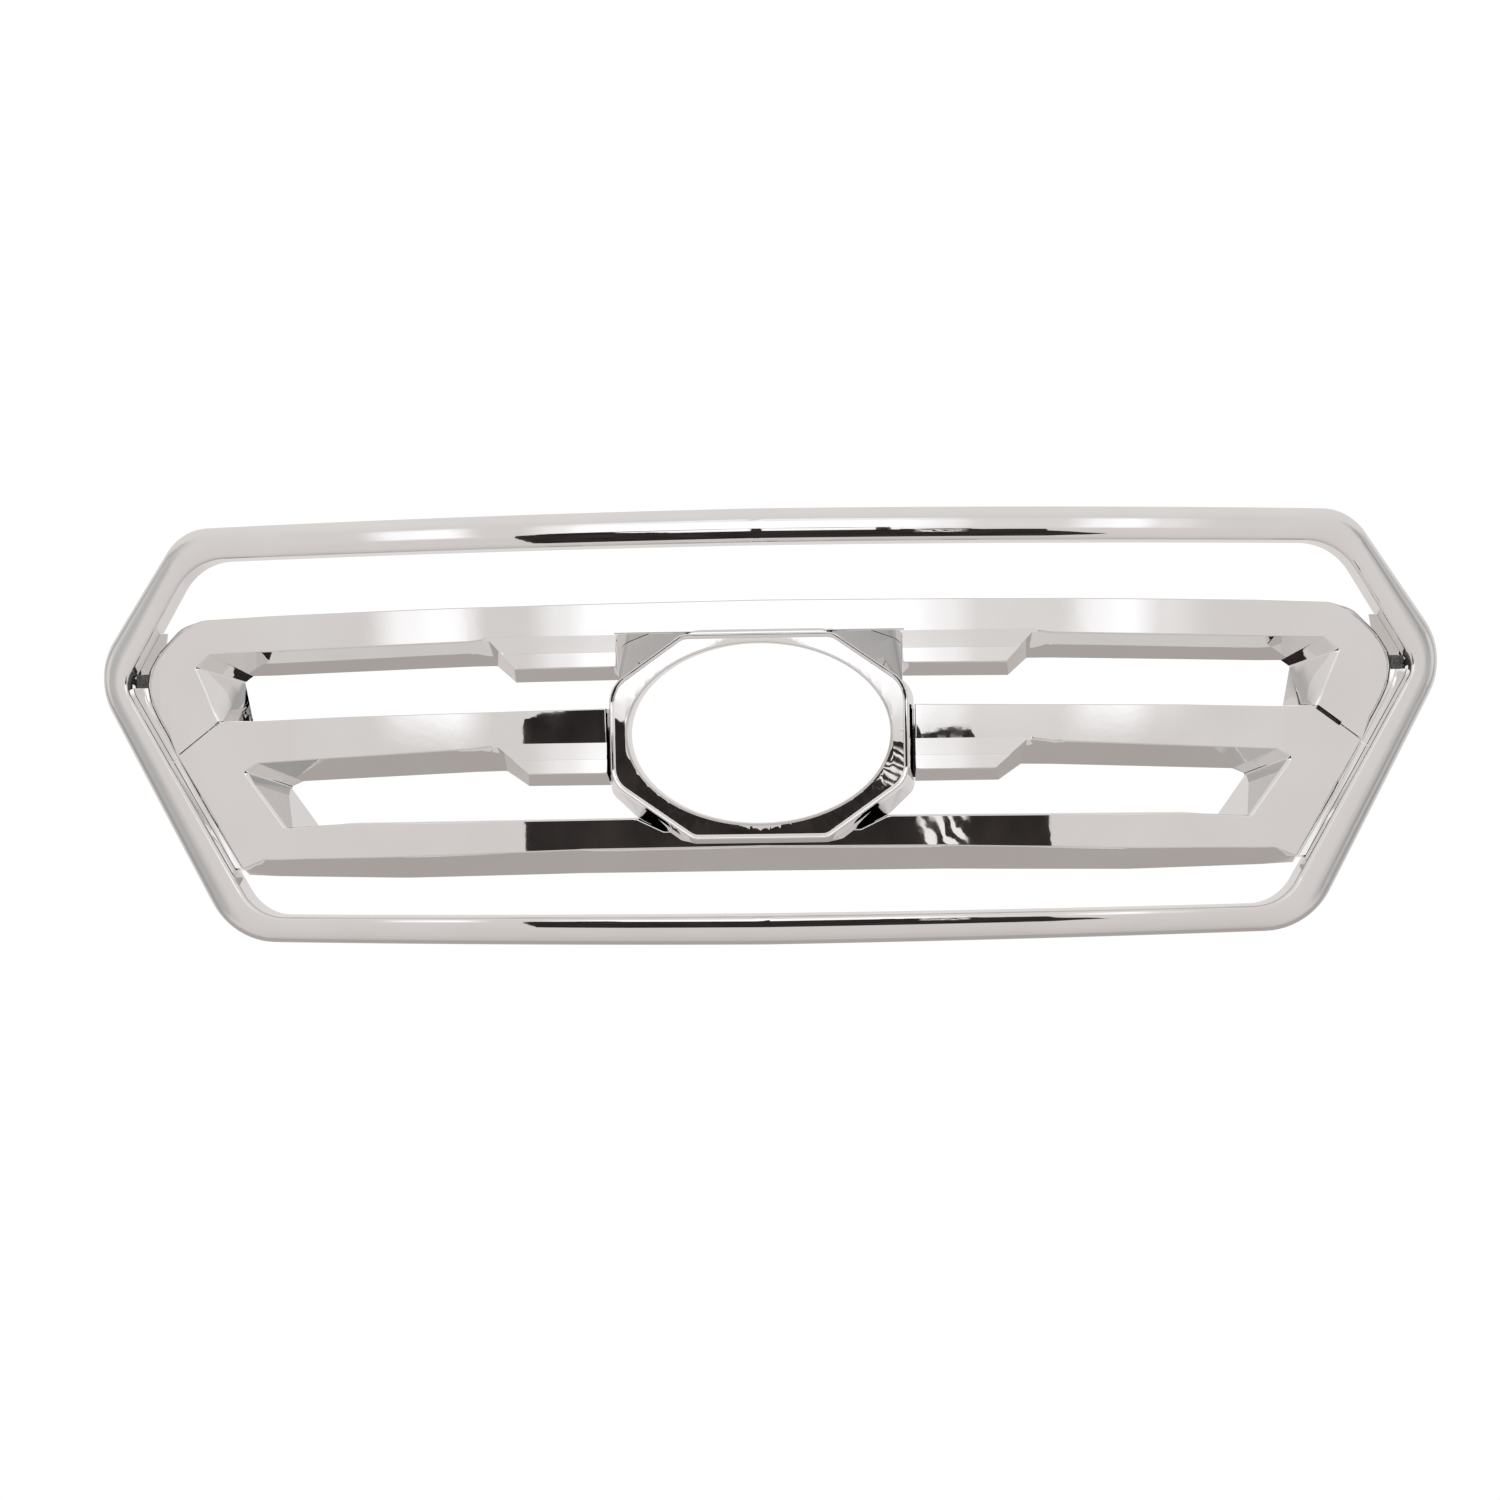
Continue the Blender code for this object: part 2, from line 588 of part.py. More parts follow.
def upper_rows():
    shift_x, shift_z = seam_shift(SEAM_GAP)
    foot = Vector(SEAM_INNER)
    turn = foot.lerp(Vector(SEAM_OUTER), SEAM_TURN)
    straight = (0.0, 0.0)
    undercut = (0.0, -BAR_UNDERCUT)
    rows = [(0.0, TOP_BAR_CROWN, *straight), (0.250, TOP_BAR_CROWN - 0.0016, *straight),
            (inboard(0.1535), TOP_BAR_CROWN - 0.0038, *straight), (inboard(0.0935), 0.0950, *straight)]
    rows += [(x, z, *straight) for x, z in PANEL_BORDER[:SEAM_INDEX]]
    rows += [(SEAM_OUTER[0] + shift_x, SEAM_OUTER[1] + shift_z, *straight),
             (turn.x + shift_x, turn.y + shift_z, foot.x - turn.x, foot.y - turn.y),
             (foot.x + shift_x, foot.y + shift_z, -WINDOW_FOOT_SLOPE, 0.0),
             (inboard(0.0860), 0.0567, -WINDOW_SLOPE - 0.003, -0.012),
             (inboard(0.0977), 0.0673, -WINDOW_SLOPE + 0.001, -BAR_UNDERCUT + 0.001),
             (inboard(0.1485), 0.0683, *undercut), (ACCENT_END + ACCENT_LENGTH + 0.015, 0.0720, *undercut),
             (ACCENT_END + ACCENT_LENGTH, 0.0740, -0.003, -BAR_UNDERCUT - 0.002),
             (ACCENT_END + ACCENT_LENGTH - 0.021, 0.0495, 0.003, -ACCENT_UNDERCUT),
             (ACCENT_END, 0.0500, 0.0, -ACCENT_UNDERCUT),
             (ACCENT_END, TOP_BAR_SILL, *straight), (0.0, TOP_BAR_SILL, *straight)]
    return rows


def lower_rows():
    straight = (0.0, 0.0)
    undercut = (0.0, -BAR_UNDERCUT)
    rows = [(0.0, LOWER_BAR_DIP, *straight), (DIP_START, LOWER_BAR_DIP, *straight),
            (DIP_END, LOWER_BAR_TOP, *straight), (inboard(0.2105), LOWER_BAR_TOP - 0.002, *straight),
            (inboard(0.1588), LOWER_BAR_TOP - 0.0047, -WINDOW_FOOT_SLOPE, 0.0),
            (inboard(0.1252), -0.0290, -WINDOW_SLOPE, -0.013),
            (inboard(0.1365), -0.0218, -WINDOW_SLOPE, -BAR_UNDERCUT + 0.003),
            (BAR_END + 0.110, -0.0130, *undercut), (BAR_END + 0.088, -0.0105, -0.003, -BAR_UNDERCUT - 0.002),
            (BAR_END + 0.063, ACCENT_FOOT, 0.004, -ACCENT_UNDERCUT),
            (BAR_END, ACCENT_FOOT, 0.0, -ACCENT_UNDERCUT), (BAR_END, MIDDLE_BAR_TOP, *straight),
            (0.220, MIDDLE_BAR_TOP - 0.0015, *straight),
            (inboard(0.2135), MIDDLE_BAR_TOP - 0.0031, *straight),
            (inboard(0.1305), MIDDLE_BAR_TOP - 0.0055, *straight),
            (*SEAM_INNER, *straight), (*SEAM_OUTER, *straight)]
    rows += [(x, z, *straight) for x, z in PANEL_BORDER[SEAM_INDEX + 1:-1]]
    rows += [(*TIP_CORNER, 0.003, -0.0065), (inboard(0.1379), -0.1010, -0.006, -0.0150),
             (inboard(0.2555), -0.0990, *undercut),
             (0.145, -0.0945, 0.0, -0.0200), (0.0, LOWER_BAR_SILL, 0.0, -0.0210)]
    return rows


def ledge(side):
    """Ledge that fills the channel between the panel and the rail, from the catch down to the tip."""
    low, high = TIP_CORNER[1] + TOLERANCE, CATCH_HEIGHT - CATCH_SIZE / 2 - GAP
    heights = {z for x, z in PANEL_BORDER + RAIL_INNER if x > 0 and low < z < high}
    rings = []
    for z in sorted(heights | {low, high}):
        inner = crossing(PANEL_BORDER, z + TOLERANCE) - WALL / 2
        outer = crossing(RAIL_INNER, z + TOLERANCE) - 2 * GAP
        back = SEAT + FLANGE / 2
        section = ((inner, back), (inner, LEDGE_INNER_DEPTH), (outer, LEDGE_OUTER_DEPTH), (outer, back))
        rings.append([(side * x, depth, z) for x, depth in section])
    return loft("ledge", rings)


CUT_LENGTH, CUT_WIDTH = 4, 8     # size of the cutter along the seam and across it, in lengths of the seam


def flange_part(side, upper):
    """The share of a side flange that belongs to the upper or the lower insert."""
    flange = slab("flange", flange_outline(side), SEAT + GAP, SEAT + GAP + FLANGE)
    add(flange, ledge(side))
    shift_x, shift_z = seam_shift(SEAM_GAP + GAP if upper else -GAP)
    along = Vector(SEAM_OUTER) - Vector(SEAM_INNER)
    start = Vector(SEAM_INNER) + Vector((shift_x, shift_z)) - along
    end = start + along * CUT_LENGTH
    away = Vector((-along.y, along.x)) * (-CUT_WIDTH if upper else CUT_WIDTH)
    outline = [start, end, end + away, start + away]
    cut(flange, slab("other part", [(side * x, z) for x, z in outline], 0.0, RAIL_BACK))
    return flange


def bracket_axis():
    """Middle of the seam, and the unit vector across it."""
    middle = (Vector(SEAM_INNER) + Vector(SEAM_OUTER)) / 2
    across = Vector(seam_shift(1.0))
    return middle, across


def bracket_outline(side, grow=0.0):
    middle, across = bracket_axis()
    along = Vector((across.y, -across.x))
    half_length = BRACKET_LENGTH / 2 + grow
    half_width = BRACKET_WIDTH / 2 + grow
    outline = []
    for length, width in ((-1, -1), (1, -1), (1, 1), (-1, 1)):
        spot = middle + across * half_length * length + along * half_width * width
        outline.append((side * spot.x, spot.y))
    return outline


def bracket_screw(upper):
    middle, across = bracket_axis()
    return middle + across * (BRACKET_PITCH / 2 if upper else -BRACKET_PITCH / 2)


def fit_flange(insert, side, upper, heights):
    """Side flange with its screw holes, the boss for the joint bracket and the notch it lies in."""
    add(insert, flange_part(side, upper))
    cut(insert, slab("notch", bracket_outline(side, 2 * GAP), BRACKET_FRONT, LOWER_BACK + EXTRA))
    spot = bracket_screw(upper)
    add(insert, rod("bracket boss", side * spot.x, spot.y, BOSS, FACE + WALL / 2, BRACKET_FRONT))
    cut(insert, rod("pilot", side * spot.x, spot.y, PILOT, FACE + WALL, BRACKET_FRONT + EXTRA))
    for height in heights:
        x, z = screw_spot(height)
        cut(insert, rod("screw hole", side * x, z, CLEAR, SEAT, SEAT + FLANGE + EXTRA))


def make_upper_insert():
    front, back = half_points(upper_rows())
    insert = shell("insert_upper", whole(front), whole(back), FACE, UPPER_BACK)
    for side in SIDES.values():
        fit_flange(insert, side, True, UPPER_SCREW_HEIGHTS)
        x, z = catch_spot()
        half = CATCH_SIZE / 2 + GAP
        cut(insert, block("catch hole", (side * x - half, side * x + half), (SEAT, SEAT + 2 * FLANGE),
                          (z - half, z + half)))
        add(insert, rod("ear boss", side * EAR_X, EAR_SCREW_HEIGHT, BOSS, FACE + WALL / 2, UPPER_BACK))
        cut(insert, rod("pilot", side * EAR_X, EAR_SCREW_HEIGHT, PILOT, UPPER_BACK - SCREW_LENGTH,
                        UPPER_BACK + EXTRA))
    finish(insert, CHROME)


def backing_ring():
    outline = rounded(symmetric(None, RING_CORNERS, None), CORNER_STEPS)
    ring = slab("ring", outline, RING_FRONT, RING_BACK)
    for side in SIDES.values():
        add(ring, block("ear", (side * EAR_X - EAR_HALF_WIDTH, side * EAR_X + EAR_HALF_WIDTH),
                        (RING_FRONT, RING_BACK), (EAR_FOOT, EAR_TOP)))
    add(ring, block("wings", (-WING_END, WING_END), (RING_FRONT, RING_BACK),
                    (ACCENT_FOOT - ACCENT_UNDERCUT + WALL, MIDDLE_BAR_TOP - WALL)))
    cut(ring, slab("oval", oval(2 * OVAL_DRAFT), RING_FRONT - EXTRA, RING_BACK + EXTRA))
    for side in SIDES.values():
        for x, z in HOUSING_SCREWS + ((EAR_X, EAR_SCREW_HEIGHT),):
            cut(ring, rod("screw hole", side * x, z, CLEAR, RING_FRONT - EXTRA, RING_BACK + EXTRA))
    return ring


def make_lower_insert():
    front, back = half_points(lower_rows())
    insert = shell("insert_lower", whole(front), whole(back), FACE, LOWER_BACK)
    for side in SIDES.values():
        fit_flange(insert, side, False, LOWER_SCREW_HEIGHTS)
    add(insert, backing_ring())
    finish(insert, CHROME)


# ---------------------------------------------------------------- emblem bezel and housing

def make_bezel():
    front = rounded(symmetric(None, BEZEL_CORNERS_FRONT, None), CORNER_STEPS)
    back = rounded(symmetric(None, BEZEL_CORNERS_BACK, None), CORNER_STEPS)
    bezel = shell("emblem_bezel", front, back, BEZEL_FRONT, HOUSING_FRONT - GAP, [(oval(), oval())])
    for side in SIDES.values():
        for x, z in BEZEL_SCREWS:
            add(bezel, rod("boss", side * x, z, BOSS, BEZEL_FRONT + WALL / 2, HOUSING_FRONT - GAP))
            cut(bezel, rod("pilot", side * x, z, PILOT, HOUSING_FRONT - SCREW_LENGTH, HOUSING_FRONT + EXTRA))
    finish(bezel, CHROME)


def lower_bar_clearance():
    """Room in the housing for the lower bar."""
    top, dip = LOWER_BAR_TOP + GAP, LOWER_BAR_DIP + GAP
    half = [(0.0, dip), (DIP_START, dip), (DIP_END, top), (WING_END, top), (WING_END, BOTTOM)]
    return slab("lower bar", whole(half), FACE - GAP, UPPER_BACK + EXTRA)


def shoulder(side):
    """Web that closes the corner between the housing, the upper bar and the accent."""
    top, end = TOP_BAR_SILL - GAP, ACCENT_END - GAP
    outline = [(SHOULDER_START, OVAL_TOP), (SHOULDER_START, top), (end, top), (end, SHOULDER_FOOT)]
    outline += [(ACCENT_END - inwards, SHOULDER_FOOT + up) for inwards, up in SHOULDER_CHAMFER]
    rings = []
    for behind in (0.0, WALL):
        ring = []
        for x, z in outline:
            share = (top - z) / (top - SHOULDER_FOOT)
            depth = SHOULDER_TOP_DEPTH + (SHOULDER_FOOT_DEPTH - SHOULDER_TOP_DEPTH) * share
            ring.append((side * x, depth + behind, z))
        rings.append(ring)
    return loft("shoulder", rings)


def make_housing():
    front = rounded(symmetric(None, BEZEL_CORNERS_BACK, None), CORNER_STEPS)
    back = rounded(symmetric(None, HOUSING_CORNERS_BACK, None), CORNER_STEPS)
    housing = shell("emblem_housing", front, back, HOUSING_FRONT, UPPER_BACK, [(oval(), oval(OVAL_DRAFT))])
    for side in SIDES.values():
        add(housing, shoulder(side))
        for x, z in HOUSING_SCREWS:
            add(housing, rod("boss", side * x, z, BOSS, HOUSING_FRONT + WALL / 2, UPPER_BACK))
            cut(housing, rod("pilot", side * x, z, PILOT, UPPER_BACK - SCREW_LENGTH, UPPER_BACK + EXTRA))
        for x, z in BEZEL_SCREWS:
            cut(housing, rod("screw hole", side * x, z, CLEAR, HOUSING_FRONT - EXTRA,
                             HOUSING_FRONT + 2 * WALL))
    cut(housing, lower_bar_clearance())
    finish(housing, CHROME)


# ---------------------------------------------------------------- small parts

def make_screw(name, x, z, under_head):
    """Screw driven from behind: the head sits at a depth, the shank points to the front."""
    screw = rod(name, x, z, SCREW_HEAD, under_head, under_head + SCREW_HEAD_THICK)
    cut(screw, rod("recess", x, z, SCREW_SHANK, under_head + SCREW_HEAD_THICK / 2,
                   under_head + SCREW_HEAD_THICK + EXTRA, RECESS_STEPS))
    tip = under_head - GAP - SCREW_LENGTH + SCREW_TIP
    add(screw, rod("shank", x, z, SCREW_SHANK, tip, under_head + SCREW_HEAD_THICK / 4))
    finish(screw, ZINC)


def make_fasteners(side_name, side):
    for label, heights in (("upper", UPPER_SCREW_HEIGHTS), ("lower", LOWER_SCREW_HEIGHTS)):
        for number, height in enumerate(heights, 1):
            x, z = screw_spot(height)
            make_screw(f"{label}_insert_screw_{side_name}_{number}", side * x, z, SEAT + FLANGE + 2 * GAP)
    for number, (x, z) in enumerate(HOUSING_SCREWS, 1):
        make_screw(f"housing_screw_{side_name}_{number}", side * x, z, RING_BACK + GAP)
    for number, (x, z) in enumerate(BEZEL_SCREWS, 1):
        make_screw(f"bezel_screw_{side_name}_{number}", side * x, z, HOUSING_FRONT + WALL + GAP)
    make_screw(f"top_bar_screw_{side_name}", side * EAR_X, EAR_SCREW_HEIGHT, RING_BACK + GAP)
    for label, upper in (("upper", True), ("lower", False)):
        spot = bracket_screw(upper)
        make_screw(f"bracket_screw_{side_name}_{label}", side * spot.x, spot.y,
                   BRACKET_FRONT + BRACKET_THICK + 2 * GAP)


def make_bracket(side_name, side):
    bracket = slab(f"joint_bracket_{side_name}", bracket_outline(side), BRACKET_FRONT + GAP,
                   BRACKET_FRONT + GAP + BRACKET_THICK)
    for upper in (True, False):
        spot = bracket_screw(upper)
        cut(bracket, rod("screw hole", side * spot.x, spot.y, CLEAR, BRACKET_FRONT - EXTRA,
                         BRACKET_FRONT + BRACKET_THICK + EXTRA))
    finish(bracket, BLACK_PLASTIC)


def make_catch(side_name, side):
    """Square catch: its nose shows in the channel, its head lies behind the flange."""
    x, z = catch_spot()
    half, head = CATCH_SIZE / 2, CATCH_HEAD / 2
    behind = SEAT + GAP + FLANGE + GAP
    catch = block(f"side_catch_{side_name}", (side * x - half, side * x + half),
                  (CATCH_FRONT, behind + CATCH_HEAD_THICK / 2), (z - half, z + half))
    add(catch, block("head", (side * x - half + GAP, side * x + half - GAP),
                     (behind, behind + CATCH_HEAD_THICK), (z - head, z + head)))
    finish(catch, GREY_PLASTIC)


def make_clip(name, x):
    """Spring clip: a strip of sheet folded over the end of a lower tab."""
    low, high = BOTTOM_TAB_TOP - TAB_RIB - GAP, BOTTOM_TAB_TOP + GAP
    outside = block(name, (x - CLIP_HALF_WIDTH, x + CLIP_HALF_WIDTH), (CLIP_FRONT, CLIP_BACK + CLIP_SHEET),
                    (low - CLIP_SHEET, high + CLIP_SHEET))
    cut(outside, block("tab room", (x - TAB_HALF_WIDTH, x + TAB_HALF_WIDTH), (CLIP_FRONT - EXTRA, CLIP_BACK),
                       (low, high)))
    finish(outside, SPRING_STEEL)


def make_clips(side_name, side):
    for number, x in enumerate(BOTTOM_TABS, 1):
        make_clip(f"lower_clip_{side_name}_{number}", side * x)


# ---------------------------------------------------------------- whole

def centre_everything():
    """Put the middle of the whole grille's box at the origin."""
    pieces = [piece for piece in bpy.data.objects if piece.type == 'MESH']
    corners = [vertex.co for piece in pieces for vertex in piece.data.vertices]
    low = Vector([min(corner[axis] for corner in corners) for axis in range(3)])
    high = Vector([max(corner[axis] for corner in corners) for axis in range(3)])
    for piece in pieces:
        piece.location = -(low + high) / 2


def main():
    for old in list(bpy.data.objects):
        bpy.data.objects.remove(old)
    make_surround()
    make_upper_insert()
    make_lower_insert()
    make_bezel()
    make_housing()
    for side_name, side in SIDES.items():
        make_bracket(side_name, side)
        make_catch(side_name, side)
        make_clips(side_name, side)
        make_fasteners(side_name, side)
    centre_everything()


main()
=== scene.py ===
"""Looks of the front grille: chromed mouldings, fasteners, materials, studio and camera.

Mouldings are drawn flat, as outlines in x and z at a depth d behind the front, and bent to the nose of the
vehicle by place(). Lengths are in metres, in the frame of the CAD model.
"""
import math

import bmesh
import bpy
from mathutils import Matrix, Vector


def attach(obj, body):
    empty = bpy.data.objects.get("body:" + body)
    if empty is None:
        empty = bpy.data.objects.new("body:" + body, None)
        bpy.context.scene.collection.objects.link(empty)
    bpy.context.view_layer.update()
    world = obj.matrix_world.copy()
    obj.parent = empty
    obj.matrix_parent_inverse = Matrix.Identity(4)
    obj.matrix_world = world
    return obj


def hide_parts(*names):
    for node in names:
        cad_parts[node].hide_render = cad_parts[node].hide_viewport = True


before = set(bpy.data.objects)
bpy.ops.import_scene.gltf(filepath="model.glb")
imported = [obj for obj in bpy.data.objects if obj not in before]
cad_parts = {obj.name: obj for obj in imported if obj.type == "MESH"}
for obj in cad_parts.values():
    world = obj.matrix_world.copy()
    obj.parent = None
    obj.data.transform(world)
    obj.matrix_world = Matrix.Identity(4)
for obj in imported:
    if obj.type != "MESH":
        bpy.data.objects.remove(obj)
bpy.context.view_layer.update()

# ---------------------------------------------------------------- sizes shared with the CAD model

HALF_WIDTH = 0.5485
TOP = 0.172
BOTTOM = -0.172
BOW = 0.092
LEAN = math.tan(math.radians(6.0))
MIDDLE_DEPTH = 0.0487144     # depth of the middle of the box behind the front of the rail
GAP = 0.0003
WALL = 0.003
EXTRA = 0.004


def inboard(distance):
    """The x that lies a distance inboard of the side point."""
    return HALF_WIDTH - distance


RAIL_BACK = 0.042
RAIL_LIP = 0.034
POINT_HEIGHT = 0.0527
RAIL_SHOULDER = (inboard(0.0765), TOP - 0.0024, 0.045)
RAIL_POINT = (inboard(-0.00995), POINT_HEIGHT, 0.056)
RAIL_FOOT = (inboard(0.1075), BOTTOM + 0.0030, 0.062)
RAIL_TOP_HEIGHT = 0.0272
RAIL_BOTTOM_HEIGHT = 0.0240
MOUTH_SHOULDER = (inboard(0.0875), TOP - 0.0285, 0.050)
MOUTH_POINT = (inboard(0.0220), POINT_HEIGHT - 0.0087, 0.018)
MOUTH_FOOT = (inboard(0.1325), BOTTOM + 0.0245, 0.040)

FACE = 0.008
UPPER_BACK = 0.0375
LOWER_BACK = 0.040
BAR_UNDERCUT = 0.0185
ACCENT_UNDERCUT = 0.0095
WINDOW_SLOPE = 0.032
WINDOW_FOOT_SLOPE = 0.022
TOP_BAR_CROWN = 0.1006
MIDDLE_BAR_TOP = 0.0175
ACCENT_FOOT = -0.0340
ACCENT_LENGTH = 0.102
LOWER_ACCENT_LENGTH = 0.088
LOWER_BAR_TOP = -0.070
LOWER_BAR_SILL = -0.093
SEAM_INNER = (inboard(0.1050), 0.0124)
SEAM_OUTER = (inboard(0.0655), -0.0155)
SEAM_GAP = 0.0005
SEAM_TURN = 0.1

SEAT = 0.024
FLANGE = 0.003
FLANGE_TOP = 0.0860
FLANGE_FOOT = 0.002
FLANGE_TIP_REACH = 0.010
FLANGE_REACH = 0.60
LEDGE_INNER_DEPTH = 0.0225
LEDGE_OUTER_DEPTH = 0.0190
SCREW_LINE = 0.34
UPPER_SCREW_HEIGHTS = (0.074, 0.014)
LOWER_SCREW_HEIGHTS = (-0.052, -0.096)
CATCH_HEIGHT = 0.047
CATCH_SIZE = 0.0105
CATCH_FRONT = 0.0195
CATCH_HEAD = 0.0180
CATCH_HEAD_THICK = 0.003
CATCH_INSET = 0.0055

OVAL_HALF_WIDTH = 0.102
OVAL_HALF_HEIGHT = 0.070
OVAL_CENTRE = -0.004
OVAL_DRAFT = 0.002
BEZEL_FRONT = -0.025
HOUSING_FRONT = -0.005
OVAL_TOP = OVAL_CENTRE + OVAL_HALF_HEIGHT
OVAL_FOOT = OVAL_CENTRE - OVAL_HALF_HEIGHT
FLAT_SHARE = 0.5196
HALF_FLAT = OVAL_HALF_WIDTH * FLAT_SHARE
BEZEL_CORNERS_FRONT = ((HALF_FLAT + 0.005, OVAL_TOP + 0.0050, 0.012),
                       (OVAL_HALF_WIDTH + 0.0115, OVAL_TOP - 0.0335, 0.022),
                       (OVAL_HALF_WIDTH + 0.0115, OVAL_FOOT + 0.0335, 0.020),
                       (HALF_FLAT - 0.001, OVAL_FOOT - 0.0100, 0.010))
BEZEL_CORNERS_BACK = ((HALF_FLAT, OVAL_TOP + 0.0095, 0.012),
                      (OVAL_HALF_WIDTH + 0.0160, OVAL_TOP - 0.0340, 0.022),
                      (OVAL_HALF_WIDTH + 0.0160, OVAL_FOOT + 0.0310, 0.020),
                      (HALF_FLAT + 0.001, OVAL_FOOT - 0.0160, 0.010))
HOUSING_CORNERS_BACK = ((HALF_FLAT, OVAL_TOP + 0.0095, 0.012),
                        (OVAL_HALF_WIDTH + 0.0195, OVAL_TOP - 0.0340, 0.022),
                        (OVAL_HALF_WIDTH + 0.0195, OVAL_FOOT + 0.0240, 0.012),
                        (HALF_FLAT + 0.0320, OVAL_FOOT - 0.0110, 0.010))
TOP_BAR_SILL = OVAL_TOP + 0.0100
ACCENT_END = OVAL_HALF_WIDTH + 0.0110
BAR_END = OVAL_HALF_WIDTH + 0.0200
LOWER_BAR_DIP = OVAL_FOOT - 0.0065
DIP_START = HALF_FLAT + 0.025
DIP_END = HALF_FLAT + 0.047
BEZEL_SCREW_CORNERS = (0, 3)
HOUSING_SCREW_CORNERS = (1, 2)
SCREW_SHARE = 0.40
SHOULDER_START = HALF_FLAT + 0.005
SHOULDER_FOOT = OVAL_TOP - 0.0325
SHOULDER_TOP_DEPTH = 0.0095
SHOULDER_FOOT_DEPTH = 0.0335
SHOULDER_CHAMFER = ((0.009, 0.0), (0.023, 0.0125))

RING_FRONT = UPPER_BACK + GAP
RING_BACK = 0.041
RING_CORNERS = ((HALF_FLAT + 0.009, OVAL_TOP + 0.0155, 0.010),
                (OVAL_HALF_WIDTH + 0.0165, OVAL_TOP - 0.0370, 0.010),
                (OVAL_HALF_WIDTH + 0.0165, OVAL_FOOT + 0.0260, 0.010),
                (HALF_FLAT + 0.013, OVAL_FOOT - 0.0220, 0.010))
WING_END = OVAL_HALF_WIDTH + 0.036
EAR_X = 0.045
EAR_HALF_WIDTH = 0.009
EAR_SCREW_HEIGHT = (TOP_BAR_SILL + TOP_BAR_CROWN) / 2
EAR_TOP = EAR_SCREW_HEIGHT + 0.0072
EAR_FOOT = OVAL_TOP - 0.016

BRACKET_FRONT = 0.020
BRACKET_THICK = 0.003
BRACKET_LENGTH = 0.044
BRACKET_WIDTH = 0.016
BRACKET_PITCH = 0.028

SCREW_SHANK = 0.0019
SCREW_HEAD = 0.0042
SCREW_HEAD_THICK = 0.0024
SCREW_LENGTH = 0.012
SCREW_TIP = 0.0015
BOSS = 0.0042
PILOT = SCREW_SHANK + GAP
CLEAR = SCREW_SHANK + 0.0006

TAB_HALF_WIDTH = 0.015
TAB_RIB = 0.003
TAB_PAD = 0.005
TAB_PAD_FRONT = RAIL_BACK + 0.0015
TAB_PAD_BACK = 0.066
TAB_HOLE = 0.0035
TONGUE_BACK = 0.0330
TOP_TABS = (0.0, 0.170, 0.340)
TOP_TAB_TOP = TOP - 0.011
BOTTOM_TABS = (0.120, 0.300)
BOTTOM_TAB_TOP = BOTTOM + 0.0135
CLIP_HALF_WIDTH = 0.008
CLIP_LENGTH = 0.016
CLIP_SHEET = 0.0008
CLIP_BACK = TONGUE_BACK + 2 * GAP
CLIP_FRONT = CLIP_BACK - CLIP_LENGTH

SIDES = {"right": 1, "left": -1}
SQUARE = ((-1, -1), (1, -1), (1, 1), (-1, 1))

# ---------------------------------------------------------------- finer sizes of the visual model

BEND_STEP = 0.008            # width of the strips that follow the nose
CORNER_STEPS = 12            # facets of a rounded corner of the rail
OUTLINE_STEPS = 5            # facets of a rounded corner of the insert
FILLET_STEPS = 4
ROUND_STEPS = 24
CRISP = 0.0008               # radius of the edges of the bars
BULGE = CRISP * 0.3          # distance of the middle of such an edge from its corner
SOFT = 0.0040                # radius of the outer edge of the end panels
RIM = 0.0022                 # radius of the outer edge of the windows
CROWN_RADIUS = 0.044         # crown of the rail's front
CROWN_TIP = 0.36             # share of the rail's width from its inner edge to the tip of the crown
CROWN_TURN = 0.115           # how much that share grows from the middle height to the top run
CROWN_OUTER = 0.35           # share from the outer edge where the outer rounding starts
CROWN_INNER = 0.89           # the same for the inner rounding
RAIL_WIDTH = 0.027           # width for which the crown is drawn
OUTER_ROUND = 0.0150         # depth of the rounding at the outer edge
INNER_ROUND = 0.0045         # depth of the rounding at the inner edge
POLAR_STEPS = 240            # points around the bezel
MITRE_LIMIT = 0.35           # smallest cosine that an offset corner is stretched for
TOLERANCE = 1e-6             # lengths below this count as nothing
FLAT_ANGLE = math.radians(0.05)      # faces that turn by less are one face
SHARP_ANGLE = math.radians(38)       # edges that turn by more are drawn sharp
FLAT_WEIGHT = 90             # how strongly large faces keep their normals


# ---------------------------------------------------------------- outlines

def corner_arc(before, corner, after, steps):
    """Points of a rounded corner; a corner of radius 0 is a single point."""
    x, z, radius = corner[:3]
    if radius == 0:
        return [(x, z)]
    point = Vector((x, z))
    to_before = (Vector(before[:2]) - point).normalized()
    to_after = (Vector(after[:2]) - point).normalized()
    half = to_before.angle(to_after) / 2
    middle = point + (to_before + to_after).normalized() * (radius / math.sin(half))
    start = point + to_before * (radius / math.tan(half)) - middle
    end = point + to_after * (radius / math.tan(half)) - middle
    turn = math.atan2(start.x * end.y - start.y * end.x, start.dot(end))
    points = []
    for step in range(steps + 1):
        angle = turn * step / steps
        cos, sin = math.cos(angle), math.sin(angle)
        points.append((middle.x + start.x * cos - start.y * sin, middle.y + start.x * sin + start.y * cos))
    return points


def rounded(corners, steps=CORNER_STEPS):
    """Closed outline through corners given as x, z, radius."""
    points = []
    count = len(corners)
    for index, corner in enumerate(corners):
        points += corner_arc(corners[index - 1], corner, corners[(index + 1) % count], steps)
    return points


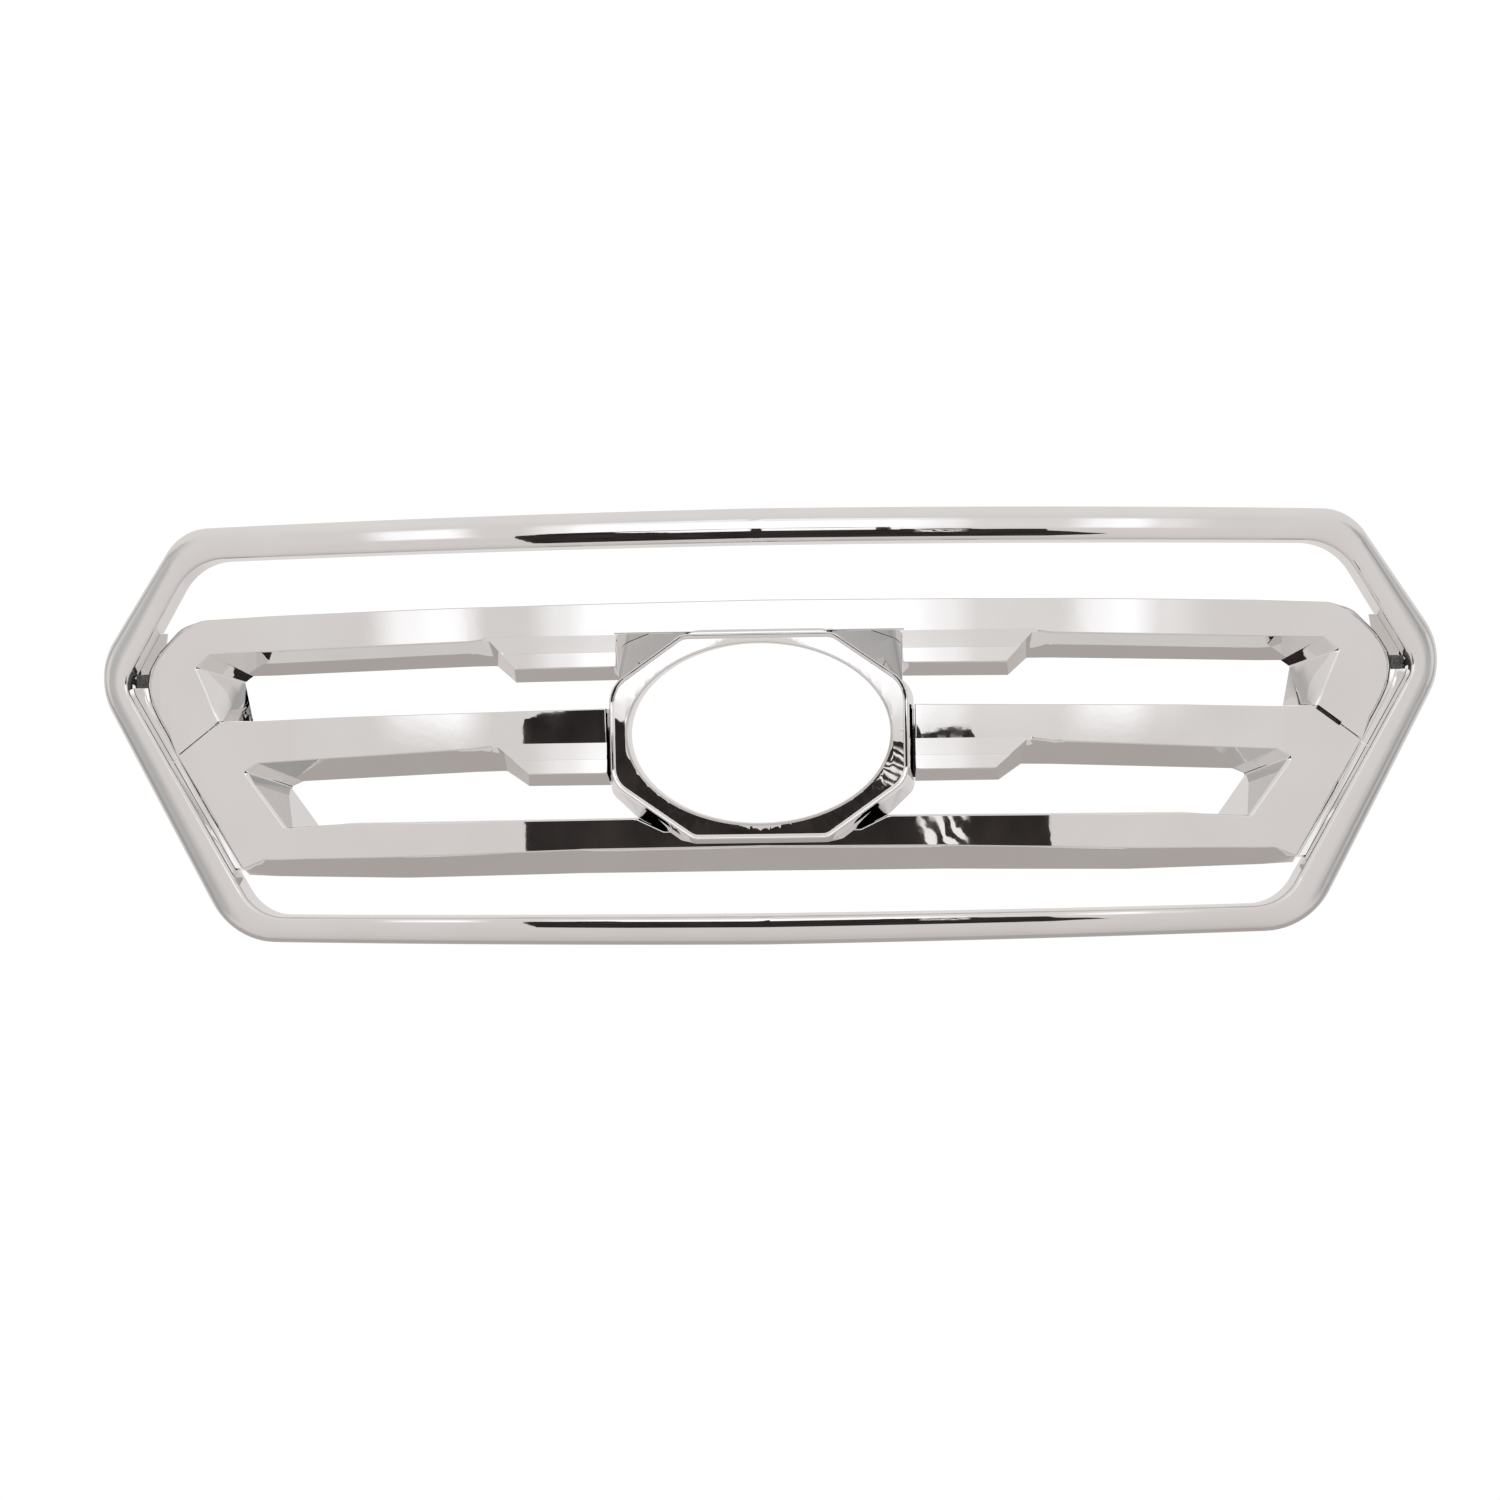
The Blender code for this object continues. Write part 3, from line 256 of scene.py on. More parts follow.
def symmetric(top, corners, bottom):
    """Corners of a whole outline from those of its right half, top to bottom."""
    mirrored = [(-x, z, radius) for x, z, radius in reversed(corners)]
    middle_top = [(0.0, top, 0)] if top is not None else []
    middle_bottom = [(0.0, bottom, 0)] if bottom is not None else []
    return middle_top + list(corners) + middle_bottom + mirrored


def oval(grow=0.0, steps=POLAR_STEPS):
    points = []
    for step in range(steps):
        angle = 2 * math.pi * step / steps
        points.append(((OVAL_HALF_WIDTH + grow) * math.sin(angle),
                       OVAL_CENTRE + (OVAL_HALF_HEIGHT + grow) * math.cos(angle)))
    return points


def area(outline):
    total = 0.0
    for (x0, z0), (x1, z1) in zip(outline, outline[1:] + outline[:1]):
        total += x0 * z1 - x1 * z0
    return total / 2


def inset(outline, widths):
    """Outline moved inwards by a width, or by one width per point, with mitred corners."""
    if not isinstance(widths, (list, tuple)):
        widths = [widths] * len(outline)
    sign = 1 if area(outline) > 0 else -1
    result = []
    count = len(outline)
    for index, width in enumerate(widths):
        here = Vector(outline[index])
        along_in = (here - Vector(outline[index - 1])).normalized()
        along_out = (Vector(outline[(index + 1) % count]) - here).normalized()
        normal_in = Vector((-along_in.y, along_in.x)) * sign
        normal_out = Vector((-along_out.y, along_out.x)) * sign
        mitre = (normal_in + normal_out).normalized()
        moved = here + mitre * (width / max(mitre.dot(normal_in), MITRE_LIMIT))
        result.append((moved.x, moved.y))
    return result


def between(first, second, share):
    return [(a[0] + (b[0] - a[0]) * share, a[1] + (b[1] - a[1]) * share) for a, b in zip(first, second)]


def crossing(outline, height):
    """Largest x at which the outline crosses a height."""
    found = []
    for (x0, z0), (x1, z1) in zip(outline, outline[1:] + outline[:1]):
        if (z0 - height) * (z1 - height) < 0:
            found.append(x0 + (x1 - x0) * (height - z0) / (z1 - z0))
    return max(found)


def corner_spot(index):
    """Place of a screw between the oval and a corner of the bezel."""
    x, z, _ = BEZEL_CORNERS_BACK[index]
    ray = Vector((x, z - OVAL_CENTRE))
    oval_share = 1 / math.hypot(ray.x / OVAL_HALF_WIDTH, ray.y / OVAL_HALF_HEIGHT)
    spot = ray * (oval_share + (1 - oval_share) * SCREW_SHARE)
    return spot.x, spot.y + OVAL_CENTRE


BEZEL_SCREWS = tuple(corner_spot(index) for index in BEZEL_SCREW_CORNERS)
HOUSING_SCREWS = tuple(corner_spot(index) for index in HOUSING_SCREW_CORNERS)
RAIL_OUTER = rounded(symmetric(TOP, (RAIL_SHOULDER, RAIL_POINT, RAIL_FOOT), BOTTOM))
RAIL_INNER = rounded(symmetric(TOP - RAIL_TOP_HEIGHT, (MOUTH_SHOULDER, MOUTH_POINT, MOUTH_FOOT),
                               BOTTOM + RAIL_BOTTOM_HEIGHT))


# ---------------------------------------------------------------- mesh tools

def mesh_object(name, shape):
    bmesh.ops.recalc_face_normals(shape, faces=shape.faces)
    mesh = bpy.data.meshes.new(name)
    shape.to_mesh(mesh)
    shape.free()
    made = bpy.data.objects.new(name, mesh)
    bpy.context.collection.objects.link(made)
    return made


def loft(name, rings, closed=False):
    """Solid through rings of (x, d, z) points; capped at both ends, or closed into a hoop."""
    shape = bmesh.new()
    layers = [[shape.verts.new(point) for point in ring] for ring in rings]
    pairs = list(zip(layers, layers[1:]))
    if closed:
        pairs.append((layers[-1], layers[0]))
    for near, far in pairs:
        count = len(near)
        for index in range(count):
            after = (index + 1) % count
            shape.faces.new((near[index], near[after], far[after], far[index]))
    if not closed:
        shape.faces.new(layers[0])
        shape.faces.new(layers[-1])
    flat = [face for face in shape.faces if len(face.verts) == 4]
    bmesh.ops.triangulate(shape, faces=flat)
    return mesh_object(name, shape)


def at_depth(outline, depth):
    return [(x, depth, z) for x, z in outline]


def slab(name, outline, front, back):
    return loft(name, [at_depth(outline, front), at_depth(outline, back)])


def block(name, x_range, d_range, z_range):
    outline = [(x_range[0], z_range[0]), (x_range[1], z_range[0]),
               (x_range[1], z_range[1]), (x_range[0], z_range[1])]
    return slab(name, outline, *d_range)


def rod(name, x, z, radius, front, back, steps=ROUND_STEPS):
    """Round rod along the depth."""
    outline = []
    for step in range(steps):
        angle = 2 * math.pi * (step + 0.5) / steps
        outline.append((x + radius * math.cos(angle), z + radius * math.sin(angle)))
    return slab(name, outline, front, back)


def upright_rod(name, x, depth, radius, low, high):
    """Round rod along z."""
    rings = []
    for z in (low, high):
        ring = []
        for step in range(ROUND_STEPS):
            angle = 2 * math.pi * (step + 0.5) / ROUND_STEPS
            ring.append((x + radius * math.cos(angle), depth + radius * math.sin(angle), z))
        rings.append(ring)
    return loft(name, rings)


def joined(pieces):
    """One object from several that don't touch."""
    shape = bmesh.new()
    for piece in pieces:
        shape.from_mesh(piece.data)
    for piece in pieces:
        bpy.data.objects.remove(piece)
    return mesh_object("joined", shape)


def combine(target, tool, operation):
    """Boolean of two objects; the tool is used up."""
    step = target.modifiers.new(operation, 'BOOLEAN')
    step.operation = operation
    step.solver = 'EXACT'
    step.object = tool
    graph = bpy.context.evaluated_depsgraph_get()
    target.data = bpy.data.meshes.new_from_object(target.evaluated_get(graph))
    target.modifiers.clear()
    bpy.data.objects.remove(tool)
    return target


def add(target, *tools):
    for tool in tools:
        combine(target, tool, 'UNION')


def cut(target, *tools):
    for tool in tools:
        combine(target, tool, 'DIFFERENCE')


def bezier(start, pull_start, pull_end, end, steps):
    """Points of a cubic curve, without its first point."""
    points = []
    for step in range(1, steps + 1):
        t = step / steps
        weights = ((1 - t) ** 3, 3 * t * (1 - t) ** 2, 3 * t * t * (1 - t), t ** 3)
        corners = (start, pull_start, pull_end, end)
        points.append(tuple(sum(w * corner[axis] for w, corner in zip(weights, corners)) for axis in (0, 1)))
    return points


# ---------------------------------------------------------------- bending and finish

def place(x, depth, z):
    return Vector((x, depth + BOW * (x / HALF_WIDTH) ** 2 - LEAN * z - MIDDLE_DEPTH, z))


def bend(piece):
    """Split the mesh into narrow strips, then move each vertex to its place on the nose."""
    shape = bmesh.new()
    shape.from_mesh(piece.data)
    bmesh.ops.remove_doubles(shape, verts=shape.verts, dist=TOLERANCE)
    bmesh.ops.dissolve_limit(shape, angle_limit=FLAT_ANGLE, verts=shape.verts, edges=shape.edges)
    low = min(vertex.co.x for vertex in shape.verts)
    high = max(vertex.co.x for vertex in shape.verts)
    for cell in range(math.ceil(low / BEND_STEP), math.floor(high / BEND_STEP) + 1):
        everything = shape.verts[:] + shape.edges[:] + shape.faces[:]
        bmesh.ops.bisect_plane(shape, geom=everything, dist=TOLERANCE, plane_co=(cell * BEND_STEP, 0, 0),
                               plane_no=(1, 0, 0))
    bmesh.ops.triangulate(shape, faces=[face for face in shape.faces if len(face.verts) > 4])
    for vertex in shape.verts:
        vertex.co = place(*vertex.co)
    bmesh.ops.recalc_face_normals(shape, faces=shape.faces)
    shape.to_mesh(piece.data)
    shape.free()


def shade(piece):
    """Smooth shading that keeps flat faces flat and sharp edges sharp."""
    piece.data.shade_smooth()
    piece.data.set_sharp_from_angle(angle=SHARP_ANGLE)
    weigh = piece.modifiers.new("weighted normals", 'WEIGHTED_NORMAL')
    weigh.keep_sharp = True
    weigh.weight = FLAT_WEIGHT
    graph = bpy.context.evaluated_depsgraph_get()
    piece.data = bpy.data.meshes.new_from_object(piece.evaluated_get(graph))
    piece.modifiers.clear()


def finish(piece, look, node):
    bend(piece)
    shade(piece)
    piece.data.materials.clear()
    piece.data.materials.append(look)
    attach(piece, "root")
    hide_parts(node)


# ---------------------------------------------------------------- materials

NOISE_RANGE = (0.3, 0.7)     # most of a noise's values lie in this range


def feed(tree, node, inputs):
    """Set each input of a node to a value, or link it to the socket given for it."""
    for name, value in inputs.items():
        if isinstance(value, bpy.types.NodeSocket):
            tree.links.new(value, node.inputs[name])
        else:
            node.inputs[name].default_value = value


def add_node(tree, kind, inputs, **settings):
    node = tree.nodes.new("ShaderNode" + kind)
    for name, value in settings.items():
        setattr(node, name, value)
    feed(tree, node, inputs)
    return node


def new_material(name):
    made = bpy.data.materials.new(name)
    made.use_nodes = True
    return made, made.node_tree


def coordinates(tree, kind="Object"):
    return add_node(tree, "TexCoord", {}).outputs[kind]


def noise(tree, scale, detail, roughness=0.5, stretch=(1, 1, 1)):
    stretched = add_node(tree, "Mapping", {"Vector": coordinates(tree), "Scale": stretch})
    return add_node(tree, "TexNoise", {"Vector": stretched.outputs["Vector"], "Scale": scale,
                                       "Detail": detail, "Roughness": roughness}).outputs["Fac"]


def spread(tree, value, low, high, from_range=NOISE_RANGE):
    """Stretch a value to the range low to high."""
    return add_node(tree, "MapRange", {"Value": value, "From Min": from_range[0], "From Max": from_range[1],
                                       "To Min": low, "To Max": high}).outputs["Result"]


def mixed(tree, value, first, second):
    """Colour between two, of which the first may be a socket."""
    if not isinstance(first, bpy.types.NodeSocket):
        first = (*first, 1.0)
    inputs = {"Factor": value, "A": first, "B": (*second, 1.0)}
    return add_node(tree, "Mix", inputs, data_type='RGBA').outputs["Result"]


def surface(name, metallic, tone, gloss, relief):
    """Material whose colour, roughness and relief follow noises, each given with its range or height."""
    made, tree = new_material(name)
    tone_noise, dark, light = tone
    gloss_noise, smooth, rough = gloss
    relief_noise, height = relief
    bump = add_node(tree, "Bump", {"Height": noise(tree, *relief_noise), "Distance": height, "Strength": 1.0})
    feed(tree, tree.nodes["Principled BSDF"], {
        "Metallic": metallic,
        "Base Color": mixed(tree, spread(tree, noise(tree, *tone_noise), 0.0, 1.0), dark, light),
        "Roughness": spread(tree, noise(tree, *gloss_noise), smooth, rough),
        "Normal": bump.outputs["Normal"]})
    return made


# Noises of the surfaces: scale, detail, and for some roughness and stretch
GRAIN = (2600.0, 2.0)
MOTTLE = (420.0, 3.0, 0.6)
BLOOM = (900.0, 5.0, 0.6)
ROLLED = (500.0, 4.0, 0.6, (0.15, 1.0, 1.0))

# Bright decorative plating on plastic: a faint ripple, a slight haze and a trace of warmth
CHROME = surface("chrome_plating", 1.0, ((14.0, 3.0), (0.855, 0.845, 0.840), (0.885, 0.880, 0.878)),
                 ((60.0, 4.0), 0.012, 0.034), ((110.0, 1.0), 0.000012))
# Moulded plastic with a fine grain
BLACK_PLASTIC = surface("black_plastic", 0.0, ((60.0, 4.0), (0.012, 0.012, 0.013), (0.028, 0.028, 0.030)),
                        (GRAIN, 0.38, 0.58), (GRAIN, 0.00006))
# Dark grey plastic with a mottled skin
GREY_PLASTIC = surface("grey_plastic", 0.0, (MOTTLE, (0.075, 0.072, 0.075), (0.240, 0.235, 0.235)),
                       (GRAIN, 0.32, 0.52), (MOTTLE, 0.00010))
# Zinc plating with the cloudy bloom of passivated screws
ZINC = surface("zinc_plating", 1.0, (BLOOM, (0.50, 0.52, 0.56), (0.72, 0.72, 0.70)), (BLOOM, 0.22, 0.42),
               (BLOOM, 0.00002))
# Phosphated strip, streaked along its length
SPRING_STEEL = surface("spring_steel", 1.0, (ROLLED, (0.10, 0.10, 0.11), (0.20, 0.20, 0.21)),
                       (ROLLED, 0.30, 0.50), (ROLLED, 0.00003))


# ---------------------------------------------------------------- surround

PULL = 0.45                  # handles of the roundings, as a share of their reach
OUTER_STEPS, CROWN_STEPS, INNER_STEPS = 9, 8, 6


def rail_profile(height):
    """Front of the rail's section from the outer to the inner wall: share of the width, depth."""
    tip = CROWN_TIP + CROWN_TURN * height / TOP

    def crown(share):
        offset = (1 - share - tip) * RAIL_WIDTH
        return offset * offset / (2 * CROWN_RADIUS)

    def along(share, reach):
        """Point on the tangent to the crown at a share, a reach further along."""
        slope = -(1 - share - tip) * RAIL_WIDTH * RAIL_WIDTH / CROWN_RADIUS
        return share + reach, crown(share) + slope * reach

    start, end = CROWN_OUTER, CROWN_INNER
    points = [(0.0, OUTER_ROUND)]
    points += bezier(points[0], (0.0, OUTER_ROUND * PULL), along(start, start * (PULL - 1)),
                     along(start, 0.0), OUTER_STEPS)
    for step in range(1, CROWN_STEPS + 1):
        points.append(along(start + (end - start) * step / CROWN_STEPS, 0.0))
    points += bezier(points[-1], along(end, (1 - end) * (1 - PULL)), (1.0, INNER_ROUND * PULL),
                     (1.0, INNER_ROUND), INNER_STEPS)
    return points


def rail_ring(index):
    """Section of the rail at one point of its outline: front, walls and the hollow behind."""
    outer = Vector(RAIL_OUTER[index])
    inner = Vector(RAIL_INNER[index])
    wall = WALL / (outer - inner).length
    profile = rail_profile(inner.y)
    section = [(0.0, RAIL_BACK)] + profile + [(1.0, RAIL_LIP), (1.0 - wall, RAIL_LIP)]
    section += [(0.5 + (share - 0.5) * (1 - 2 * wall), depth + WALL) for share, depth in reversed(profile)]
    section += [(wall, RAIL_BACK)]
    ring = []
    for share, depth in section:
        spot = outer + (inner - outer) * share
        ring.append((spot.x, depth, spot.y))
    return ring


def flange_outline(side, grow=0.0):
    """Area that the flanges of one side cover, from the wall of the insert to behind the rail."""
    reach = between(RAIL_INNER, RAIL_OUTER, FLANGE_REACH)
    lower_end = TIP_CORNER[1] - FLANGE_FOOT
    outer = [point for point in reach if point[0] > 0 and lower_end < point[1] < FLANGE_TOP]
    top_x = crossing(reach, FLANGE_TOP)
    bottom_x = crossing(reach, lower_end)
    border = [point for point in PANEL_BORDER if lower_end < point[1] < FLANGE_TOP]
    inner = [(x - WALL / 2, z) for x, z in reversed(border)]
    outline = [(inner[-1][0] - WALL, FLANGE_TOP), (top_x, FLANGE_TOP)] + outer + [(bottom_x, lower_end)]
    outline += [(TIP_CORNER[0] - FLANGE_TIP_REACH, lower_end)] + inner
    outline = inset(outline, -grow) if grow else outline
    return [(side * x, z) for x, z in outline]


def screw_spot(height):
    return crossing(between(RAIL_INNER, RAIL_OUTER, SCREW_LINE), height), height


def catch_spot():
    half = CATCH_SIZE / 2
    edge = min(crossing(RAIL_INNER, CATCH_HEIGHT + offset) for offset in (-half, 0.0, half))
    return edge - CATCH_INSET, CATCH_HEIGHT


def tab(x, top):
    """Mounting tab: a rib inside the rail that ends in a thicker pad."""
    rib_top = top - (TAB_PAD - TAB_RIB) / 2
    rib = block("tab", (x - TAB_HALF_WIDTH + WALL, x + TAB_HALF_WIDTH - WALL),
                (WALL, TAB_PAD_FRONT + WALL), (rib_top - TAB_RIB, rib_top))
    add(rib, block("pad", (x - TAB_HALF_WIDTH, x + TAB_HALF_WIDTH), (TAB_PAD_FRONT, TAB_PAD_BACK),
                   (top - TAB_PAD, top)))
    return rib


def bolt_hole(x, top):
    depth = (TAB_PAD_FRONT + TAB_PAD_BACK) / 2
    return upright_rod("bolt hole", x, depth, TAB_HOLE, top - TAB_PAD - EXTRA, top + EXTRA)


def lower_tab(x):
    return block("lower tab", (x - TAB_HALF_WIDTH, x + TAB_HALF_WIDTH), (WALL, TONGUE_BACK),
                 (BOTTOM_TAB_TOP - TAB_RIB, BOTTOM_TAB_TOP))


def both(spots):
    return sorted({side * spot for side in SIDES.values() for spot in spots})


def make_surround():
    surround = loft("grille_surround", [rail_ring(index) for index in range(len(RAIL_OUTER))], closed=True)
    bosses, pilots = [], []
    for side in SIDES.values():
        for height in UPPER_SCREW_HEIGHTS + LOWER_SCREW_HEIGHTS:
            x, z = screw_spot(height)
            bosses.append(rod("boss", side * x, z, BOSS, WALL, SEAT + EXTRA))
            pilots.append(rod("pilot", side * x, z, PILOT, SEAT - SCREW_LENGTH, SEAT + EXTRA))
    bosses += [tab(x, TOP_TAB_TOP) for x in both(TOP_TABS)] + [lower_tab(x) for x in both(BOTTOM_TABS)]
    add(surround, joined(bosses))
    cut(surround, joined([slab("seat", flange_outline(side, 2 * GAP), SEAT, RAIL_BACK + EXTRA)
                          for side in SIDES.values()]))
    cut(surround, joined(pilots + [bolt_hole(x, TOP_TAB_TOP) for x in both(TOP_TABS)]))
    finish(surround, CHROME, "surround")


# ---------------------------------------------------------------- insert

PANEL_BORDER = [(inboard(distance), height) for distance, height in (
    (0.0735, 0.0900), (0.0520, 0.0700), (0.0425, 0.0560), (0.0400, 0.0440), (0.0420, 0.0290),
    (0.0485, 0.0150), (0.0565, 0.0010))]
PANEL_BORDER += [SEAM_OUTER, (inboard(0.0900), -0.0615), (inboard(0.1200), -0.1085)]
TIP_CORNER = PANEL_BORDER[-1]
SEAM_INDEX = PANEL_BORDER.index(SEAM_OUTER)


def seam_shift(distance):
    """Move across the seam by a distance, upwards if positive."""
    along = (Vector(SEAM_OUTER) - Vector(SEAM_INNER)).normalized()
    return -along.y * distance, along.x * distance


STRAIGHT = (0.0, 0.0)
UNDERCUT = (0.0, -BAR_UNDERCUT)


def row(x, z, shift=STRAIGHT, radius=0, edge=CRISP):
    """Corner of an insert: place, shift of its back point, corner radius, edge radius."""
    return x, z, *shift, radius, edge


def upper_rows():
    gap = Vector(seam_shift(SEAM_GAP))
    foot, outer = Vector(SEAM_INNER), Vector(SEAM_OUTER)
    turn = foot.lerp(outer, SEAM_TURN)
    accent_top = ACCENT_END + ACCENT_LENGTH
    rows = [row(0.0, TOP_BAR_CROWN), row(0.250, TOP_BAR_CROWN - 0.0016),
            row(inboard(0.1535), TOP_BAR_CROWN - 0.0038, radius=0.2),
            row(inboard(0.0935), 0.0950, radius=0.03, edge=CRISP * 1.5)]
    rows += [row(x, z, radius=0.025, edge=SOFT) for x, z in PANEL_BORDER[:SEAM_INDEX]]
    rows += [row(*(outer + gap), edge=CRISP / 2), row(*(turn + gap), foot - turn, edge=CRISP / 2),
             row(*(foot + gap), (-WINDOW_FOOT_SLOPE, 0.0), edge=RIM),
             row(inboard(0.0860), 0.0567, (-WINDOW_SLOPE - 0.003, -0.012), 0.002, RIM),
             row(inboard(0.0977), 0.0673, (-WINDOW_SLOPE + 0.001, -BAR_UNDERCUT + 0.001), 0.002),
             row(inboard(0.1485), 0.0683, UNDERCUT), row(accent_top + 0.015, 0.0720, UNDERCUT),
             row(accent_top, 0.0740, (-0.003, -BAR_UNDERCUT - 0.002), 0.002),
             row(accent_top - 0.021, 0.0495, (0.003, -ACCENT_UNDERCUT), 0.002),
             row(ACCENT_END, 0.0500, (0.0, -ACCENT_UNDERCUT)), row(ACCENT_END, TOP_BAR_SILL),
             row(0.0, TOP_BAR_SILL)]
    return rows


def lower_rows():
    rows = [row(0.0, LOWER_BAR_DIP), row(DIP_START, LOWER_BAR_DIP, radius=0.004),
            row(DIP_END, LOWER_BAR_TOP, radius=0.004), row(inboard(0.2105), LOWER_BAR_TOP - 0.002),
            row(inboard(0.1588), LOWER_BAR_TOP - 0.0047, (-WINDOW_FOOT_SLOPE, 0.0), edge=RIM),
            row(inboard(0.1252), -0.0290, (-WINDOW_SLOPE, -0.013), 0.002, RIM),
            row(inboard(0.1365), -0.0218, (-WINDOW_SLOPE, -BAR_UNDERCUT + 0.003), 0.002),
            row(BAR_END + 0.110, -0.0130, UNDERCUT),
            row(BAR_END + LOWER_ACCENT_LENGTH, -0.0105, (-0.003, -BAR_UNDERCUT - 0.002), 0.002),
            row(BAR_END + 0.063, ACCENT_FOOT, (0.004, -ACCENT_UNDERCUT), 0.002),
            row(BAR_END, ACCENT_FOOT, (0.0, -ACCENT_UNDERCUT)), row(BAR_END, MIDDLE_BAR_TOP),
            row(0.220, MIDDLE_BAR_TOP - 0.0015), row(inboard(0.2135), MIDDLE_BAR_TOP - 0.0031),
            row(inboard(0.1305), MIDDLE_BAR_TOP - 0.0055), row(*SEAM_INNER, edge=CRISP / 2), row(*SEAM_OUTER)]
    rows += [row(x, z, radius=0.2, edge=SOFT) for x, z in PANEL_BORDER[SEAM_INDEX + 1:-1]]
    rows += [row(*TIP_CORNER, (0.003, -0.0065), 0.002), row(inboard(0.1379), -0.1010, (-0.006, -0.0150)),
             row(inboard(0.2555), -0.0990, UNDERCUT), row(0.145, -0.0945, (0.0, -0.0200)),
             row(0.0, LOWER_BAR_SILL, (0.0, -0.0210))]
    return rows


def whole_rows(rows):
    """Rows of a whole insert from those of its right half."""
    return rows + [(-x, z, -shift_x, shift_z, radius, edge)
                   for x, z, shift_x, shift_z, radius, edge in reversed(rows) if x > TOLERANCE]


def moulding(name, rows, front, back):
    """Moulding with a face, rounded edges and walls, open at the back."""
    fronts = [(x, z, radius) for x, z, _, _, radius, _ in rows]
    backs = [(x + shift_x, z + shift_z, radius) for x, z, shift_x, shift_z, radius, _ in rows]
    edges = []
    for *_, radius, edge in rows:
        edges += [edge] * (1 if radius == 0 else OUTLINE_STEPS + 1)
    front_outline, back_outline = rounded(fronts, OUTLINE_STEPS), rounded(backs, OUTLINE_STEPS)
    rings = []
    for step in range(FILLET_STEPS + 1):
        angle = math.pi / 2 * step / FILLET_STEPS
        depths = [edge * (1 - math.cos(angle)) for edge in edges]
        line = []
        for (x0, z0), (x1, z1), depth in zip(front_outline, back_outline, depths):
            share = depth / (back - front)
            line.append((x0 + (x1 - x0) * share, z0 + (z1 - z0) * share))
        line = inset(line, [edge * (1 - math.sin(angle)) for edge in edges])
        rings.append([(x, front + depth, z) for (x, z), depth in zip(line, depths)])
    body = loft(name, rings + [at_depth(back_outline, back)])
    sharp_front = [corner[:2] for corner in fronts]
    sharp_back = [corner[:2] for corner in backs]
    slope = WALL / (back - front)
    past = (back + EXTRA - front) / (back - front)
    cut(body, loft("core", [at_depth(inset(between(sharp_front, sharp_back, slope), WALL), front + WALL),
                            at_depth(inset(between(sharp_front, sharp_back, past), WALL), back + EXTRA)]))
    return body


LEDGE_GROOVE = 0.0005        # half width and depth of the line along the ledge
LEDGE_STEP = 0.0002          # how far its outer strip stands forward of the line's other side
LEDGE_SHARE = 0.42           # where the line lies across the ledge


def ledge(side):
    """Ledge with two strips that fills the channel between the panel and the rail, below the catch."""
    low, high = TIP_CORNER[1] + TOLERANCE, CATCH_HEIGHT - CATCH_SIZE / 2 - GAP
    heights = {z for x, z in PANEL_BORDER + RAIL_INNER if x > 0 and low < z < high}
    back = SEAT + FLANGE / 2
    rings = []
    for z in sorted(heights | {low, high}):
        panel = crossing(PANEL_BORDER, z + TOLERANCE)
        inner, outer = panel - WALL / 2, crossing(RAIL_INNER, z + TOLERANCE) - GAP
        middle = panel + (outer - panel) * LEDGE_SHARE
        ridge = (LEDGE_INNER_DEPTH + LEDGE_OUTER_DEPTH) / 2
        section = ((inner, back), (inner, LEDGE_INNER_DEPTH), (middle - LEDGE_GROOVE, ridge),
                   (middle, ridge + LEDGE_GROOVE), (middle + LEDGE_GROOVE, ridge - LEDGE_STEP),
                   (outer, LEDGE_OUTER_DEPTH), (outer, back))
        rings.append([(side * x, depth, z) for x, depth in section])
    return loft("ledge", rings)


CUT_LENGTH, CUT_WIDTH = 4, 8     # size of what parts the flange at the seam, in lengths of the seam


def flange_part(side, upper):
    """The share of a side flange that belongs to the upper or the lower insert."""
    flange = slab("flange", flange_outline(side), SEAT + GAP, SEAT + GAP + FLANGE)
    add(flange, ledge(side))
    along = Vector(SEAM_OUTER) - Vector(SEAM_INNER)
    start = Vector(SEAM_INNER) + Vector(seam_shift(SEAM_GAP + GAP if upper else -GAP)) - along
    end = start + along * CUT_LENGTH
    away = Vector((-along.y, along.x)) * (-CUT_WIDTH if upper else CUT_WIDTH)
    outline = [start, end, end + away, start + away]
    cut(flange, slab("other part", [(side * x, z) for x, z in outline], 0.0, RAIL_BACK))
    return flange


def bracket_axis():
    """Middle of the seam, and the unit vector across it."""
    return (Vector(SEAM_INNER) + Vector(SEAM_OUTER)) / 2, Vector(seam_shift(1.0))


def bracket_outline(side, grow=0.0, radius=0.0):
    middle, across = bracket_axis()
    along = Vector((across.y, -across.x))
    half_length, half_width = BRACKET_LENGTH / 2 + grow, BRACKET_WIDTH / 2 + grow
    outline = []
    for length, width in SQUARE:
        spot = middle + across * half_length * length + along * half_width * width
        outline.append((side * spot.x, spot.y, radius))
    return rounded(outline, OUTLINE_STEPS)


def bracket_screw(upper):
    middle, across = bracket_axis()
    spot = middle + across * (BRACKET_PITCH / 2 if upper else -BRACKET_PITCH / 2)
    return spot.x, spot.y


